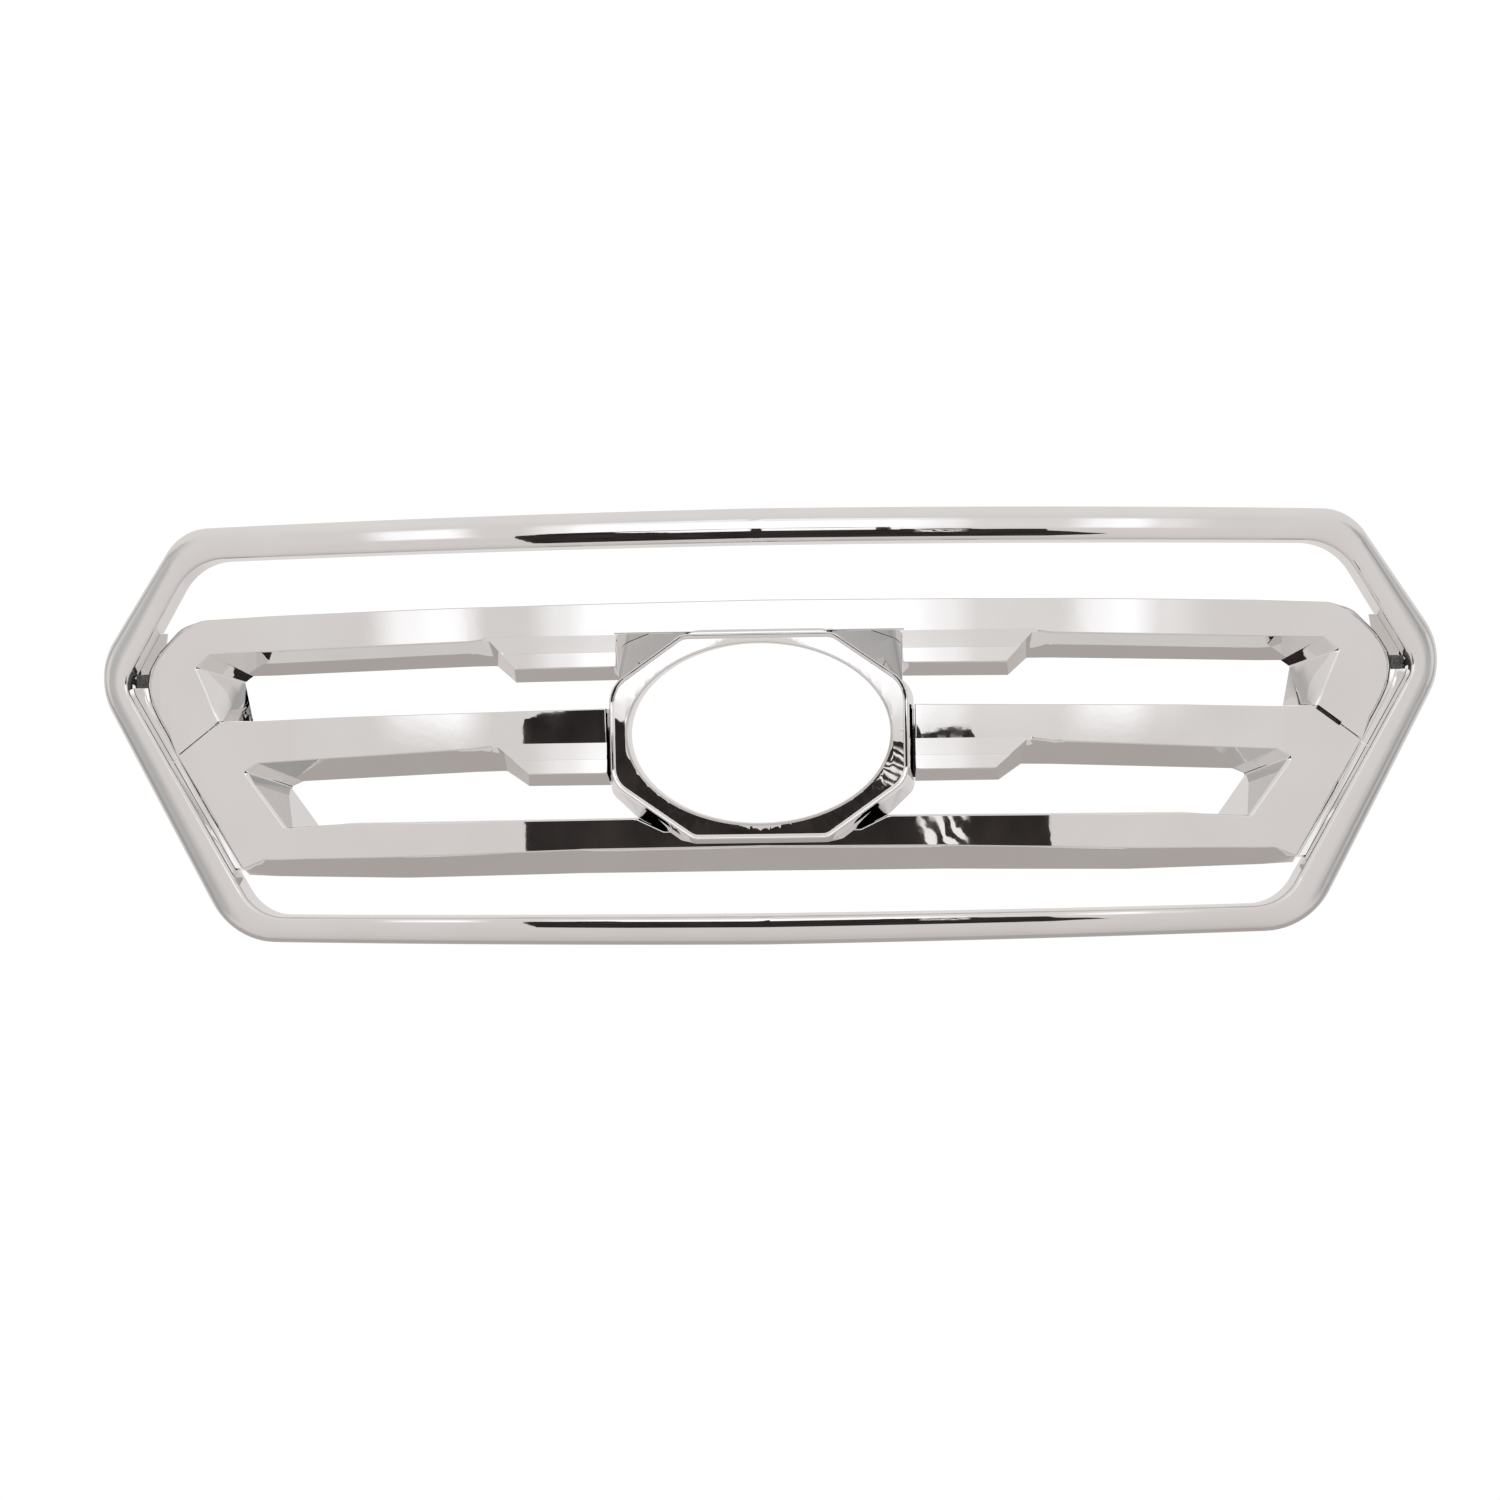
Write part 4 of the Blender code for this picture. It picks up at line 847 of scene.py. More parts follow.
def fit_flange(insert, side, upper, heights):
    """Side flange with its screw holes, the boss for the joint bracket and the notch it lies in."""
    add(insert, flange_part(side, upper))
    cut(insert, slab("notch", bracket_outline(side, 2 * GAP), BRACKET_FRONT, LOWER_BACK + EXTRA))
    x, z = bracket_screw(upper)
    add(insert, rod("bracket boss", side * x, z, BOSS, FACE + WALL / 2, BRACKET_FRONT))
    holes = [rod("pilot", side * x, z, PILOT, FACE + WALL, BRACKET_FRONT + EXTRA)]
    for height in heights:
        x, z = screw_spot(height)
        holes.append(rod("screw hole", side * x, z, CLEAR, SEAT, SEAT + FLANGE + EXTRA))
    cut(insert, joined(holes))


ACCENT_STEP = 0.0022         # how far the top of an accent's first facet lies behind the bar
ACCENT_LINE = 0.0009         # the same for the second facet
ACCENT_STEPS_APART = 0.0002  # height of the line between the facets
SKIN = 0.0001                # how far the first facet stays behind the bar at its foot
UPPER_ACCENT = (0.0755, 0.0618, 0.0480)    # top, line between the facets, foot
LOWER_ACCENT = (-0.0095, -0.0225, -0.0360)


def cut_accent(insert, side, inner_x, outer_x, heights):
    """Cut the front of an accent back to two facets, each leaning forward to its foot."""
    top, middle, foot = heights
    section = [(BEZEL_FRONT, top), (FACE + ACCENT_STEP, top), (FACE + SKIN, middle),
               (FACE + ACCENT_LINE, middle - ACCENT_STEPS_APART), (FACE - 2 * SKIN, foot),
               (BEZEL_FRONT, foot)]
    ends = sorted((side * (inner_x - EXTRA), side * (outer_x + EXTRA)))
    cut(insert, loft("accent", [[(x, depth, z) for depth, z in section] for x in ends]))


def make_upper_insert():
    insert = moulding("upper_grille_insert", whole_rows(upper_rows()), FACE, UPPER_BACK)
    for side in SIDES.values():
        fit_flange(insert, side, True, UPPER_SCREW_HEIGHTS)
        x, z = catch_spot()
        half = CATCH_SIZE / 2 + GAP
        cut(insert, block("catch hole", (side * x - half, side * x + half), (SEAT, SEAT + 2 * FLANGE),
                          (z - half, z + half)))
        add(insert, rod("ear boss", side * EAR_X, EAR_SCREW_HEIGHT, BOSS, FACE + WALL / 2, UPPER_BACK))
        cut(insert, rod("pilot", side * EAR_X, EAR_SCREW_HEIGHT, PILOT, UPPER_BACK - SCREW_LENGTH,
                        UPPER_BACK + EXTRA))
        cut_accent(insert, side, ACCENT_END, ACCENT_END + ACCENT_LENGTH, UPPER_ACCENT)
    cut(insert, joined(seam_slots()))
    finish(insert, CHROME, "insert_upper")


def backing_ring():
    outline = rounded(symmetric(None, RING_CORNERS, None), CORNER_STEPS)
    ring = slab("ring", outline, RING_FRONT, RING_BACK)
    for side in SIDES.values():
        add(ring, block("ear", (side * EAR_X - EAR_HALF_WIDTH, side * EAR_X + EAR_HALF_WIDTH),
                        (RING_FRONT, RING_BACK), (EAR_FOOT, EAR_TOP)))
    add(ring, block("wings", (-WING_END, WING_END), (RING_FRONT, RING_BACK),
                    (ACCENT_FOOT - ACCENT_UNDERCUT + WALL, MIDDLE_BAR_TOP - WALL)))
    holes = [slab("oval", oval(2 * OVAL_DRAFT), RING_FRONT - EXTRA, RING_BACK + EXTRA)]
    for side in SIDES.values():
        for x, z in HOUSING_SCREWS + ((EAR_X, EAR_SCREW_HEIGHT),):
            holes.append(rod("screw hole", side * x, z, CLEAR, RING_FRONT - EXTRA, RING_BACK + EXTRA))
    cut(ring, joined(holes))
    return ring


RIGHT_SLOT = (0.0020, 0.0262, 0.0018)    # of the right seam: start, end, half width
LEFT_SLOT = (0.0012, 0.0050, 0.0011)
SLOT_ROUND = 0.3             # corner radius as a share of the half width


def seam_slot(side, size, front, back, grow=0.0):
    """Opening along the seam between two distances from its inner end."""
    start, end, half_width = size[0] - grow, size[1] + grow, size[2] + grow
    along = (Vector(SEAM_OUTER) - Vector(SEAM_INNER)).normalized()
    across = Vector((-along.y, along.x)) * half_width
    middle = Vector(SEAM_INNER) + Vector(seam_shift(SEAM_GAP / 2))
    outline = []
    for turn, distance in ((-1, start), (-1, end), (1, end), (1, start)):
        spot = middle + along * distance + across * turn
        outline.append((side * spot.x, spot.y, half_width * SLOT_ROUND))
    return slab("seam slot", rounded(outline, OUTLINE_STEPS), front, back)


def seam_slots():
    """The wide opening of the right seam and the small notch of the left one."""
    return [seam_slot(side, size, FACE - EXTRA, BRACKET_FRONT)
            for side, size in ((1, RIGHT_SLOT), (-1, LEFT_SLOT))]


def make_lower_insert():
    insert = moulding("lower_grille_insert", whole_rows(lower_rows()), FACE, LOWER_BACK)
    for side in SIDES.values():
        fit_flange(insert, side, False, LOWER_SCREW_HEIGHTS)
        cut_accent(insert, side, BAR_END, BAR_END + LOWER_ACCENT_LENGTH, LOWER_ACCENT)
    cut(insert, joined(seam_slots()))
    add(insert, backing_ring())
    finish(insert, CHROME, "insert_lower")


# ---------------------------------------------------------------- emblem bezel and housing

def ray_hits(outline):
    """Where rays from the middle of the oval through its points meet an outline around it."""
    hits = []
    for x, z in oval():
        direction = Vector((x, z - OVAL_CENTRE))
        best = None
        for (x0, z0), (x1, z1) in zip(outline, outline[1:] + outline[:1]):
            edge = Vector((x1 - x0, z1 - z0))
            start = Vector((x0, z0 - OVAL_CENTRE))
            cross = direction.x * edge.y - direction.y * edge.x
            if abs(cross) < TOLERANCE ** 2:
                continue
            along = (start.x * edge.y - start.y * edge.x) / cross
            share = (start.x * direction.y - start.y * direction.x) / cross
            if along > 0 and -TOLERANCE <= share <= 1 + TOLERANCE and (best is None or along < best):
                best = along
        hits.append((direction.x * best, direction.y * best + OVAL_CENTRE))
    return hits


BEZEL_SPREAD = 0.0024        # how far the rim stands outside the front outline
# Sections of the bezel: distance from the oval or from the rim's outer edge, depth behind the bezel's front
INNER_LIP = ((0.0000, 0.0022), (0.0001, 0.0011), (0.0004, 0.0004), (0.0008, 0.0000), (0.0012, 0.0002),
             (0.0015, 0.0006), (0.0017, 0.0011))
DISH = (0.0021, 0.0014), (0.0040, 0.0020)    # inner end from the oval, outer end from the rim
RIM_SECTION = ((0.0040, 0.0020), (0.0036, 0.0019), (0.0031, 0.0015), (0.0012, 0.0010), (0.0007, 0.0011),
               (0.0003, 0.0016), (0.0000, 0.0026))


def make_bezel():
    front = rounded(symmetric(None, BEZEL_CORNERS_FRONT, None), CORNER_STEPS)
    rim = inset(front, -BEZEL_SPREAD)
    back = rounded(symmetric(None, BEZEL_CORNERS_BACK, None), CORNER_STEPS)
    foot = HOUSING_FRONT - GAP
    rings = [at_depth(oval(), foot)]
    rings += [at_depth(oval(grow), BEZEL_FRONT + depth) for grow, depth in INNER_LIP + (DISH[0],)]
    rings += [at_depth(ray_hits(inset(rim, width)), BEZEL_FRONT + depth) for width, depth in RIM_SECTION]
    rings += [at_depth(ray_hits(back), foot), at_depth(ray_hits(inset(back, WALL)), foot),
              at_depth(ray_hits(inset(rim, WALL)), BEZEL_FRONT + DISH[1][1] + WALL),
              at_depth(oval(WALL), BEZEL_FRONT + DISH[0][1] + WALL), at_depth(oval(WALL), foot)]
    bezel = loft("emblem_bezel_ring", rings, closed=True)
    bosses, pilots = [], []
    for side in SIDES.values():
        for x, z in BEZEL_SCREWS:
            bosses.append(rod("boss", side * x, z, BOSS, BEZEL_FRONT + 1.5 * WALL, foot))
            pilots.append(rod("pilot", side * x, z, PILOT, HOUSING_FRONT - SCREW_LENGTH,
                              HOUSING_FRONT + EXTRA))
    add(bezel, joined(bosses))
    cut(bezel, joined(pilots))
    finish(bezel, CHROME, "emblem_bezel")


def lower_bar_clearance():
    """Room in the housing for the lower bar."""
    dip, top = LOWER_BAR_DIP + GAP, LOWER_BAR_TOP + GAP
    half = ((DIP_START, dip, 0), (DIP_END, top, 0), (WING_END, top, 0), (WING_END, BOTTOM, 0))
    return slab("lower bar", rounded(symmetric(dip, half, None)), FACE - GAP, UPPER_BACK + EXTRA)


def shoulder(side):
    """Web that closes the corner between the housing, the upper bar and the accent."""
    top, end = TOP_BAR_SILL - GAP, ACCENT_END - GAP
    outline = [(SHOULDER_START, OVAL_TOP, 0), (SHOULDER_START, top, 0), (end, top, 0.004),
               (end, SHOULDER_FOOT, 0.002)]
    outline += [(ACCENT_END - inwards, SHOULDER_FOOT + up, 0) for inwards, up in SHOULDER_CHAMFER]
    rings = []
    for behind in (0.0, WALL):
        ring = []
        for x, z in rounded(outline, OUTLINE_STEPS):
            share = (top - z) / (top - SHOULDER_FOOT)
            depth = SHOULDER_TOP_DEPTH + (SHOULDER_FOOT_DEPTH - SHOULDER_TOP_DEPTH) * share
            ring.append((side * x, depth + behind, z))
        rings.append(ring)
    return loft("shoulder", rings)


def make_housing():
    front = rounded(symmetric(None, BEZEL_CORNERS_BACK, None), CORNER_STEPS)
    back = rounded(symmetric(None, HOUSING_CORNERS_BACK, None), CORNER_STEPS)
    housing = loft("emblem_housing_cup", [
        at_depth(inset(front, CRISP), HOUSING_FRONT), at_depth(inset(front, BULGE), HOUSING_FRONT + BULGE),
        at_depth(front, HOUSING_FRONT + CRISP), at_depth(back, UPPER_BACK),
        at_depth(inset(back, WALL), UPPER_BACK), at_depth(inset(front, WALL), HOUSING_FRONT + WALL)])
    past = (UPPER_BACK + EXTRA - HOUSING_FRONT) / (UPPER_BACK - HOUSING_FRONT)
    sleeve = loft("sleeve", [at_depth(oval(WALL), HOUSING_FRONT + WALL / 2),
                             at_depth(oval(WALL + OVAL_DRAFT), UPPER_BACK)])
    add(housing, sleeve)
    cut(housing, loft("hole", [at_depth(oval(), HOUSING_FRONT - EXTRA),
                               at_depth(oval(OVAL_DRAFT * past), UPPER_BACK + EXTRA)]))
    holes = []
    for side in SIDES.values():
        add(housing, shoulder(side))
        for x, z in HOUSING_SCREWS:
            add(housing, rod("boss", side * x, z, BOSS, HOUSING_FRONT + WALL / 2, UPPER_BACK))
            holes.append(rod("pilot", side * x, z, PILOT, UPPER_BACK - SCREW_LENGTH, UPPER_BACK + EXTRA))
        for x, z in BEZEL_SCREWS:
            holes.append(rod("screw hole", side * x, z, CLEAR, HOUSING_FRONT - EXTRA,
                             HOUSING_FRONT + 2 * WALL))
    cut(housing, joined(holes))
    cut(housing, lower_bar_clearance())
    finish(housing, CHROME, "emblem_housing")


# ---------------------------------------------------------------- small parts

BRACKET_ROUND = 0.003        # corner radius


def make_bracket(side_name, side):
    """Plate behind the seam; on the right its rib shows through the slot of the seam."""
    front, back = BRACKET_FRONT + GAP, BRACKET_FRONT + GAP + BRACKET_THICK
    small, full = (bracket_outline(side, grow, BRACKET_ROUND) for grow in (-CRISP, 0.0))
    bracket = loft(f"joint_bracket_plate_{side_name}", [at_depth(small, front), at_depth(full, front + CRISP),
                                                        at_depth(full, back - CRISP), at_depth(small, back)])
    if side > 0:
        add(bracket, seam_slot(side, RIGHT_SLOT, FACE + EXTRA, front + CRISP, -GAP))
    holes = []
    for upper in (True, False):
        x, z = bracket_screw(upper)
        holes.append(rod("screw hole", side * x, z, CLEAR, BRACKET_FRONT - EXTRA, back + EXTRA))
    cut(bracket, joined(holes))
    finish(bracket, BLACK_PLASTIC, f"joint_bracket_{side_name}")


CATCH_ROUND = 0.0012         # corner radius
CATCH_DIMPLE = (0.5, 0.6)    # size of the dimple's floor and rim, as a share of the catch


def make_catch(side_name, side):
    """Square catch: its nose shows in the channel, its head lies behind the flange."""
    x, z = catch_spot()
    half, head = CATCH_SIZE / 2, CATCH_HEAD / 2
    behind = SEAT + GAP + FLANGE + GAP

    def square(size, depth):
        return at_depth(rounded([(side * x + size * a, z + size * b, CATCH_ROUND) for a, b in SQUARE],
                                OUTLINE_STEPS), depth)

    catch = loft(f"side_catch_block_{side_name}", [
        square(half * CATCH_DIMPLE[0], CATCH_FRONT + CRISP), square(half * CATCH_DIMPLE[1], CATCH_FRONT),
        square(half - CRISP, CATCH_FRONT), square(half - BULGE, CATCH_FRONT + BULGE),
        square(half, CATCH_FRONT + CRISP), square(half, behind + CATCH_HEAD_THICK / 2)])
    add(catch, block("head", (side * x - half + GAP, side * x + half - GAP),
                     (behind, behind + CATCH_HEAD_THICK), (z - head, z + head)))
    finish(catch, GREY_PLASTIC, f"side_catch_{side_name}")


SCREW_POINT = 0.0006         # radius of the tip
SCREW_TAPER = ((0.7, 0.0010), (1.0, 0.0018))     # share of the core's radius, distance from the tip
THREAD_PITCH = 0.0011
THREAD_DEPTH = 0.00035
THREAD = ((0, 0.35), (THREAD_DEPTH, 0.55), (0, 0.75))    # height, place along the pitch
THREAD_RUNOUT = 0.0004
WASHER = ((0.0002, 0.0), (0.0, 0.0002), (0.0, 0.0007), (0.0008, 0.0010))    # from the edge, above its face
DOME = ((0.0009, 0.0007), (0.0013, 0.0002), (0.0018, 0.0))                  # from the edge, below the top
RECESS_RADIUS = 0.0021
RECESS_DEPTH = 0.0014
RECESS_SIDES = 6


def screw_profile(tip, under_head, top):
    """Radius and depth along a screw: point, threaded shank, washer face and domed head."""
    core = SCREW_SHANK - THREAD_DEPTH
    profile = [(SCREW_POINT, tip)] + [(core * share, tip + above) for share, above in SCREW_TAPER]
    depth = profile[-1][1]
    while depth + THREAD_PITCH < under_head - THREAD_RUNOUT:
        profile += [(core + height, depth + THREAD_PITCH * share) for height, share in THREAD]
        depth += THREAD_PITCH
    profile.append((core, under_head))
    profile += [(SCREW_HEAD - inwards, under_head + above) for inwards, above in WASHER]
    return profile + [(SCREW_HEAD - inwards, top - below) for inwards, below in DOME]


def make_screw(node, x, z, under_head):
    """Screw driven from behind, with a six-sided recess."""
    top = under_head + SCREW_HEAD_THICK
    turns = [2 * math.pi * step / ROUND_STEPS for step in range(ROUND_STEPS)]
    rings = [[(x + radius * math.cos(turn), depth, z + radius * math.sin(turn)) for turn in turns]
             for radius, depth in screw_profile(under_head - GAP - SCREW_LENGTH + SCREW_TIP, under_head, top)]
    screw = loft(node + "_machined", rings)
    cut(screw, rod("recess", x, z, RECESS_RADIUS, top - RECESS_DEPTH, top + EXTRA, RECESS_SIDES))
    finish(screw, ZINC, node)


def make_fasteners(side_name, side):
    spots = []
    for label, heights in (("upper", UPPER_SCREW_HEIGHTS), ("lower", LOWER_SCREW_HEIGHTS)):
        spots += [(f"{label}_insert_screw_{side_name}_{number}", screw_spot(height), SEAT + FLANGE + 2 * GAP)
                  for number, height in enumerate(heights, 1)]
    for label, places, under_head in (("housing", HOUSING_SCREWS, RING_BACK + GAP),
                                      ("bezel", BEZEL_SCREWS, HOUSING_FRONT + WALL + GAP)):
        spots += [(f"{label}_screw_{side_name}_{number}", spot, under_head)
                  for number, spot in enumerate(places, 1)]
    spots.append((f"top_bar_screw_{side_name}", (EAR_X, EAR_SCREW_HEIGHT), RING_BACK + GAP))
    spots += [(f"bracket_screw_{side_name}_{label}", bracket_screw(label == "upper"),
               BRACKET_FRONT + BRACKET_THICK + 2 * GAP) for label in ("upper", "lower")]
    for node, (x, z), under_head in spots:
        make_screw(node, side * x, z, under_head)


CLIP_ARC_STEPS = 8
CLIP_ROUND = (0.35, 0.08)    # how round the fold is outside and inside
CLIP_STRIPS = (-1.0, -0.94, 0.94, 1.0)


def fold(back, middle, reach, roundness):
    """Half circle flattened against a back line, bottom to top, as depth and z."""
    points = []
    for step in range(CLIP_ARC_STEPS + 1):
        angle = math.pi * (step / CLIP_ARC_STEPS - 0.5)
        points.append((back - (1 - math.cos(angle)) * reach * roundness, middle + math.sin(angle) * reach))
    return points


def make_clip(node, x):
    """Spring clip: a strip of sheet folded round the end of a lower tongue."""
    low, high = BOTTOM_TAB_TOP - TAB_RIB - GAP, BOTTOM_TAB_TOP + GAP
    middle, reach = (low + high) / 2, (high - low) / 2
    outer = fold(CLIP_BACK + CLIP_SHEET, middle, reach + CLIP_SHEET, CLIP_ROUND[0])
    inner = fold(CLIP_BACK, middle, reach, CLIP_ROUND[1])
    section = [(CLIP_FRONT, low - CLIP_SHEET), *outer, (CLIP_FRONT, high + CLIP_SHEET),
               (CLIP_FRONT, high), *reversed(inner), (CLIP_FRONT, low)]
    rings = [[(x + CLIP_HALF_WIDTH * strip, depth, z) for depth, z in section] for strip in CLIP_STRIPS]
    finish(loft(node + "_sheet", rings), SPRING_STEEL, node)


def make_small_parts():
    for side_name, side in SIDES.items():
        make_bracket(side_name, side)
        make_catch(side_name, side)
        make_fasteners(side_name, side)
        for number, x in enumerate(BOTTOM_TABS, 1):
            make_clip(f"lower_clip_{side_name}_{number}", side * x)


# ---------------------------------------------------------------- studio

def emission(name, colour, strength=1.0):
    made, tree = new_material(name)
    tree.nodes.clear()
    light = add_node(tree, "Emission", {"Color": (*colour, 1.0), "Strength": strength})
    add_node(tree, "OutputMaterial", {"Surface": light.outputs["Emission"]})
    return made


def stage_plane(name, outline, distance, look):
    """Upright plane in front of the grille that shows only in reflections."""
    mesh = bpy.data.meshes.new(name)
    mesh.from_pydata([(x, -distance, z) for x, z in outline], [], [tuple(range(len(outline)))])
    mesh.materials.append(look)
    made = bpy.data.objects.new(name, mesh)
    bpy.context.collection.objects.link(made)
    made.visible_camera = False


FLOOR_HEIGHT = -1.25
STUDIO_REACH = 9.0
STUDIO_WHITE = 1.02


def make_stage():
    """White floor and surroundings, seen by the camera; the reflections come from the sky and the cards."""
    shape = bmesh.new()
    bmesh.ops.create_icosphere(shape, subdivisions=4, radius=STUDIO_REACH)
    for vertex in shape.verts:
        vertex.co.z = max(vertex.co.z, FLOOR_HEIGHT)
    studio = mesh_object("studio", shape)
    studio.data.materials.append(emission("white_studio", (1.0, 1.0, 1.0), STUDIO_WHITE))
    studio.visible_glossy = False
    studio.visible_diffuse = False
    studio.visible_shadow = False


def soft_edge(tree, value, start, end):
    """0 to 1 from start to end of a value, smoothly."""
    return add_node(tree, "MapRange", {"Value": value, "From Min": start, "From Max": end},
                    interpolation_type='SMOOTHSTEP').outputs["Result"]


def product(tree, result, *factors):
    for factor in factors:
        result = add_node(tree, "Math", {0: result, 1: factor}, operation='MULTIPLY').outputs["Value"]
    return result


def axes(tree, kind="Object"):
    """The x, y and z of a point."""
    return add_node(tree, "SeparateXYZ", {"Vector": coordinates(tree, kind)}).outputs


def colours_along(tree, value, stops, blend):
    """Colour along a value, from stops of value and colour."""
    low, high = stops[0][0], stops[-1][0]
    node = add_node(tree, "ValToRGB", {"Fac": spread(tree, value, 0.0, 1.0, (low, high))})
    node.color_ramp.interpolation = blend
    elements = node.color_ramp.elements
    elements[0].color = (*stops[0][1], 1)
    elements[1].color = (*stops[-1][1], 1)
    for at, colour in stops[1:-1]:
        elements.new((at - low) / (high - low)).color = (*colour, 1)
    return node.outputs["Color"]


SOFTBOX_DISTANCE = 2.35
SOFTBOX_REACH = 2.3
SOFTBOX_FOOT, SOFTBOX_TOP = -0.62, 0.60
DIM_LIGHT, BRIGHT_LIGHT = (0.74, 0.71, 0.695), (1.20, 1.20, 1.21)
# Brightness of the soft lights across their width
SOFTBOX_LEVELS = ((-SOFTBOX_REACH, 0.0), (-1.85, 0.0), (-1.62, 0.8), (-1.40, 1.0), (-1.20, 0.0), (-1.06, 0.0),
                  (-0.88, 0.5), (-0.74, 1.0), (0.48, 1.0), (0.66, 0.6), (0.80, 0.15), (1.12, 0.10),
                  (1.32, 0.8), (1.44, 1.0), (1.62, 0.3), (1.9, 0.0), (SOFTBOX_REACH, 0.0))


def make_softbox():
    """Three broad soft lights side by side in front of the grille, fading out at their edges."""
    look = emission("softbox", (1.0, 1.0, 1.0))
    tree = look.node_tree
    x, _, z = axes(tree)
    levels = colours_along(tree, x, [(at, (level,) * 3) for at, level in SOFTBOX_LEVELS], 'EASE')
    mask = product(tree, levels, soft_edge(tree, z, -0.56, -0.42), soft_edge(tree, z, 0.55, 0.12))
    feed(tree, tree.nodes["Emission"], {"Color": mixed(tree, mask, DIM_LIGHT, BRIGHT_LIGHT)})
    reach = SOFTBOX_REACH
    stage_plane("softbox", [(-reach, SOFTBOX_FOOT), (reach, SOFTBOX_FOOT), (reach, SOFTBOX_TOP),
                            (-reach, SOFTBOX_TOP)], SOFTBOX_DISTANCE, look)


CARD_DISTANCE = 2.12
# Outline of the dark stand below the camera, x and z
CARD_OUTLINE = ((-0.98, -1.06), (-0.60, -1.14), (1.05, -1.14), (1.30, -0.98), (1.16, -0.80), (1.02, -0.66),
                (1.00, -0.52), (0.86, -0.495), (0.74, -0.500), (0.70, -0.435), (0.60, -0.430), (0.50, -0.440),
                (0.47, -0.425), (0.445, -0.425), (0.43, -0.462), (0.405, -0.455), (0.400, -0.392),
                (0.350, -0.388), (0.345, -0.46), (0.20, -0.43), (-0.30, -0.42), (-0.58, -0.40),
                (-0.66, -0.345), (-0.74, -0.350), (-0.82, -0.385), (-0.90, -0.395), (-0.98, -0.41),
                (-1.00, -0.52))
# Colour of the painted light on the cloth: its creases glow instead of being lit by a lamp
GLOWING_CLOTH_COLOUR = (0.95, 0.93, 0.90)


def make_cards():
    """The dark camera stand in front of the grille, with a pale creased cloth over its right side whose lit
    creases are painted light: they glow by themselves.
    """
    dark, tree = new_material("dark_card")
    x, _, z = axes(tree)
    creases = add_node(tree, "TexWave", {"Vector": coordinates(tree), "Scale": 9.0, "Distortion": 5.0,
                                         "Detail": 2.0, "Detail Scale": 1.5}, bands_direction='DIAGONAL')
    # Painted light: bright glowing streaks where the cloth's creases would catch the light
    painted_light_streaks = product(tree, soft_edge(tree, x, 0.49, 0.51), soft_edge(tree, x, 0.70, 0.67),
                      soft_edge(tree, z, -0.74, -0.70), soft_edge(tree, z, -0.44, -0.47),
                      soft_edge(tree, creases.outputs["Fac"], 0.50, 0.62))
    cloud = spread(tree, noise(tree, 6.0, 3.0), 0.0, 1.0)
    feed(tree, tree.nodes["Principled BSDF"], {
        "Roughness": 0.9,
        "Base Color": mixed(tree, cloud, (0.010, 0.008, 0.007), (0.042, 0.034, 0.032)),
        "Emission Color": mixed(tree, painted_light_streaks, (0.0, 0.0, 0.0), GLOWING_CLOTH_COLOUR),
        "Emission Strength": 1.0})
    stage_plane("dark_card", CARD_OUTLINE, CARD_DISTANCE, dark)


# Soft lights for the plastic and steel parts: name, place, size, power
LIGHTS = (("key_light", (-1.6, -1.6, 2.2), 1.6, 22.0), ("fill_light", (1.8, -1.2, 1.8), 1.6, 14.0),
          ("back_light", (0.3, 2.4, 1.6), 2.0, 18.0))


def make_lights():
    for name, place_at, size, energy in LIGHTS:
        data = bpy.data.lights.new(name, 'AREA')
        data.size = size
        data.energy = energy
        lamp = bpy.data.objects.new(name, data)
        lamp.location = place_at
        lamp.rotation_euler = (-Vector(place_at)).to_track_quat('-Z', 'Y').to_euler()
        lamp.visible_glossy = False
        bpy.context.collection.objects.link(lamp)


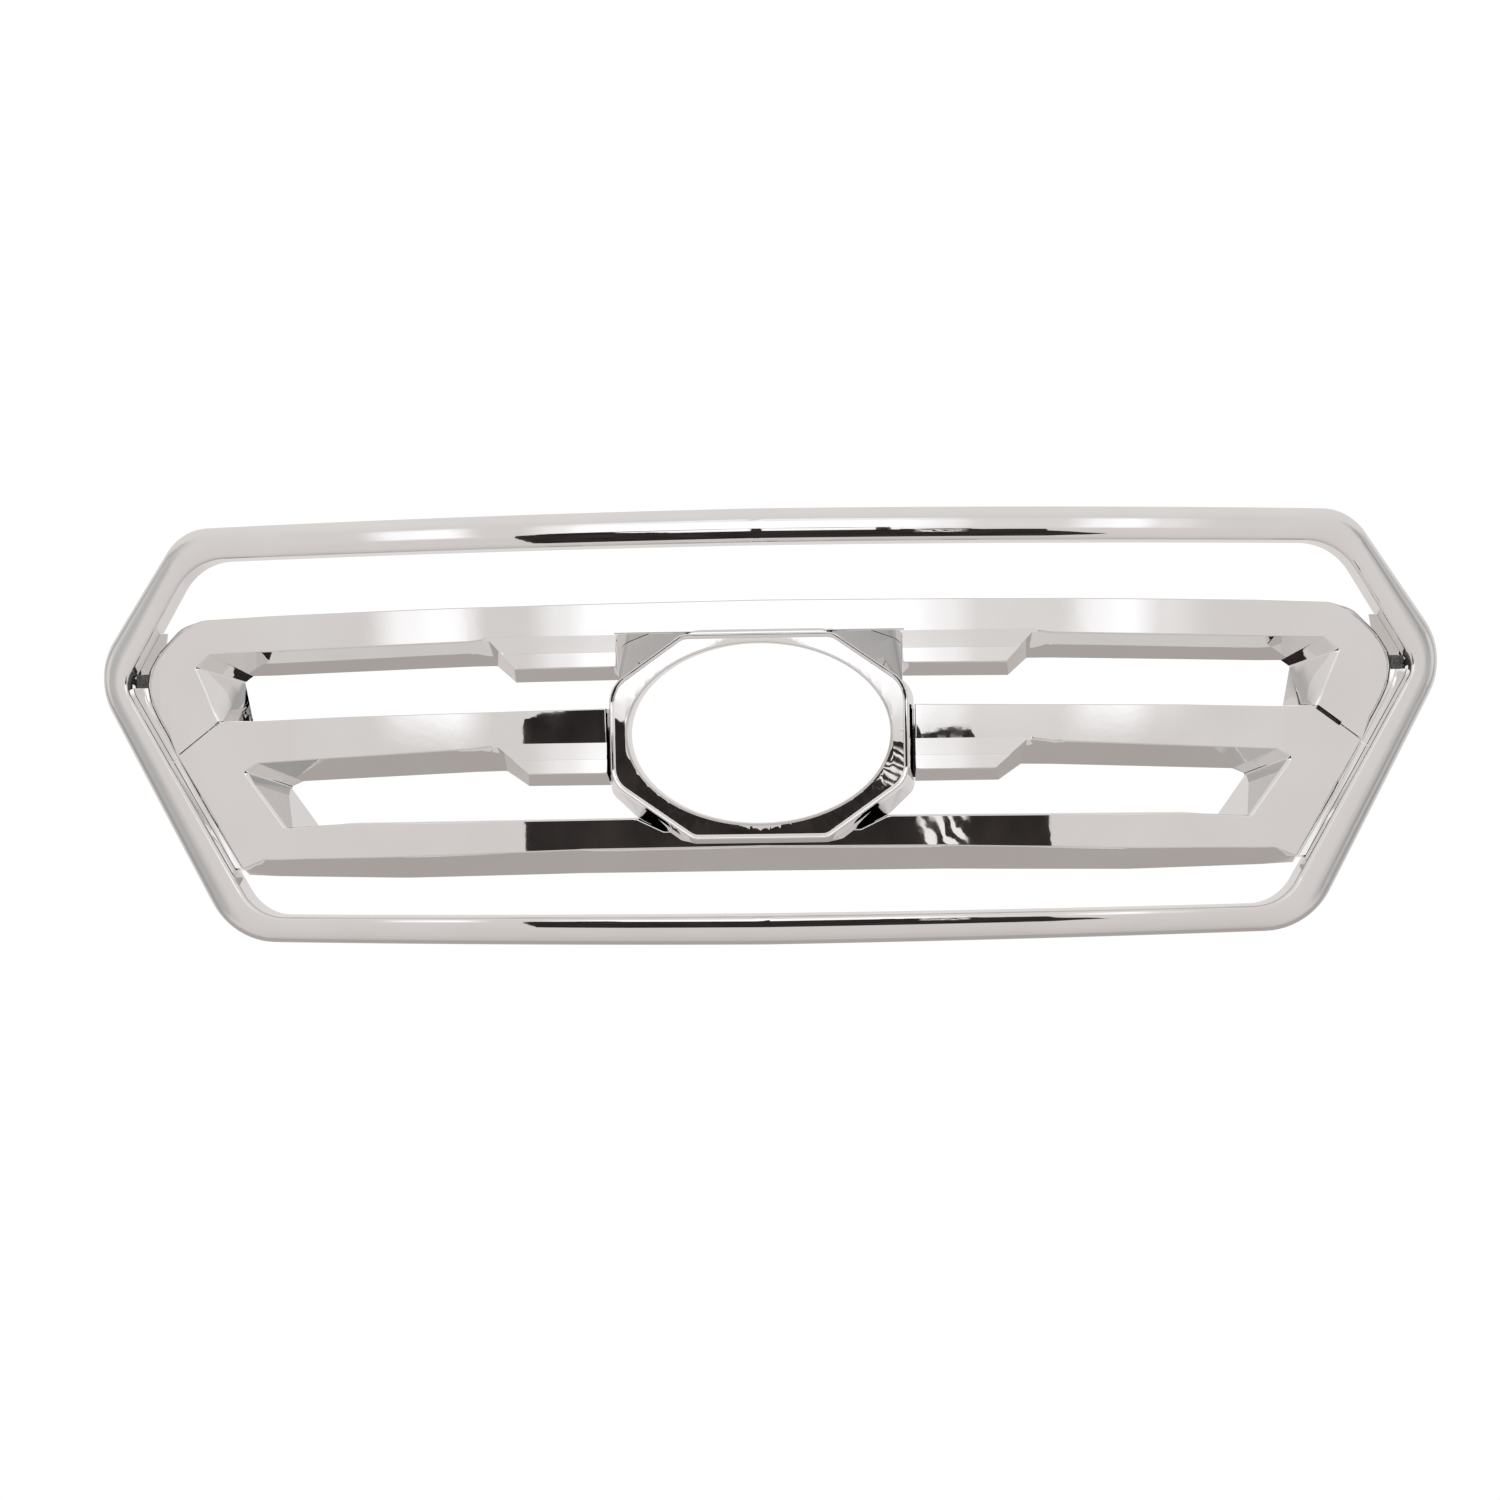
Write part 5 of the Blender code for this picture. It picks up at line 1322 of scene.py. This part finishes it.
# Colours of the surroundings from straight below to straight above
SKY_COLOURS = ((-1.0, (0.60, 0.565, 0.55)), (-0.76, (0.66, 0.62, 0.605)), (-0.52, (0.70, 0.66, 0.645)),
               (-0.08, (0.74, 0.71, 0.695)), (1.0, (0.78, 0.76, 0.75)))
SKY_BEHIND = (0.44, 0.405, 0.39)     # low behind the grille
SKY_BESIDE = (0.34, 0.345, 0.34)     # soft dark patches on both sides


def make_sky():
    world = bpy.data.worlds.new("studio_sky")
    bpy.context.scene.world = world
    world.use_nodes = True
    tree = world.node_tree
    x, y, z = axes(tree, "Generated")
    sky = colours_along(tree, z, SKY_COLOURS, 'LINEAR')
    behind = product(tree, soft_edge(tree, y, -0.05, 0.35), soft_edge(tree, z, -0.20, -0.45))
    across = add_node(tree, "Math", {0: x}, operation='ABSOLUTE').outputs["Value"]
    cloud = add_node(tree, "TexNoise", {"Vector": coordinates(tree, "Generated"), "Scale": 3.0,
                                        "Detail": 2.0})
    beside = product(tree, soft_edge(tree, across, 0.74, 0.90), soft_edge(tree, across, 1.0, 0.93),
                     soft_edge(tree, z, -0.60, -0.40), soft_edge(tree, z, 0.50, 0.25),
                     spread(tree, cloud.outputs["Fac"], 0.35, 1.0))
    sky = mixed(tree, beside, mixed(tree, behind, sky, SKY_BEHIND), SKY_BESIDE)
    feed(tree, tree.nodes["Background"], {"Color": sky, "Strength": 1.0})


CAMERA_PLACE = (0.0750784, -2.0455289, -0.0169064)
CAMERA_RIGHT = (0.99903555, 0.04150331, -0.01433352)
CAMERA_FORWARD = (-0.04150757, 0.99913819, 0.0)
CAMERA_UP = (0.01432117, 0.00059495, 0.99989727)
LENS = 61.212


def make_camera():
    data = bpy.data.cameras.new("camera")
    data.lens = LENS
    data.sensor_width = 36.0
    data.clip_end = 50.0
    camera = bpy.data.objects.new("camera", data)
    back = [-part for part in CAMERA_FORWARD]
    turn = Matrix((CAMERA_RIGHT, CAMERA_UP, back)).transposed().to_4x4()
    camera.matrix_world = Matrix.Translation(CAMERA_PLACE) @ turn
    bpy.context.collection.objects.link(camera)
    bpy.context.scene.camera = camera
    bpy.context.scene.view_settings.view_transform = 'Standard'


# ---------------------------------------------------------------- whole

make_surround()
make_upper_insert()
make_lower_insert()
make_bezel()
make_housing()
make_small_parts()
make_stage()
make_softbox()
make_cards()
make_lights()
make_sky()
make_camera()
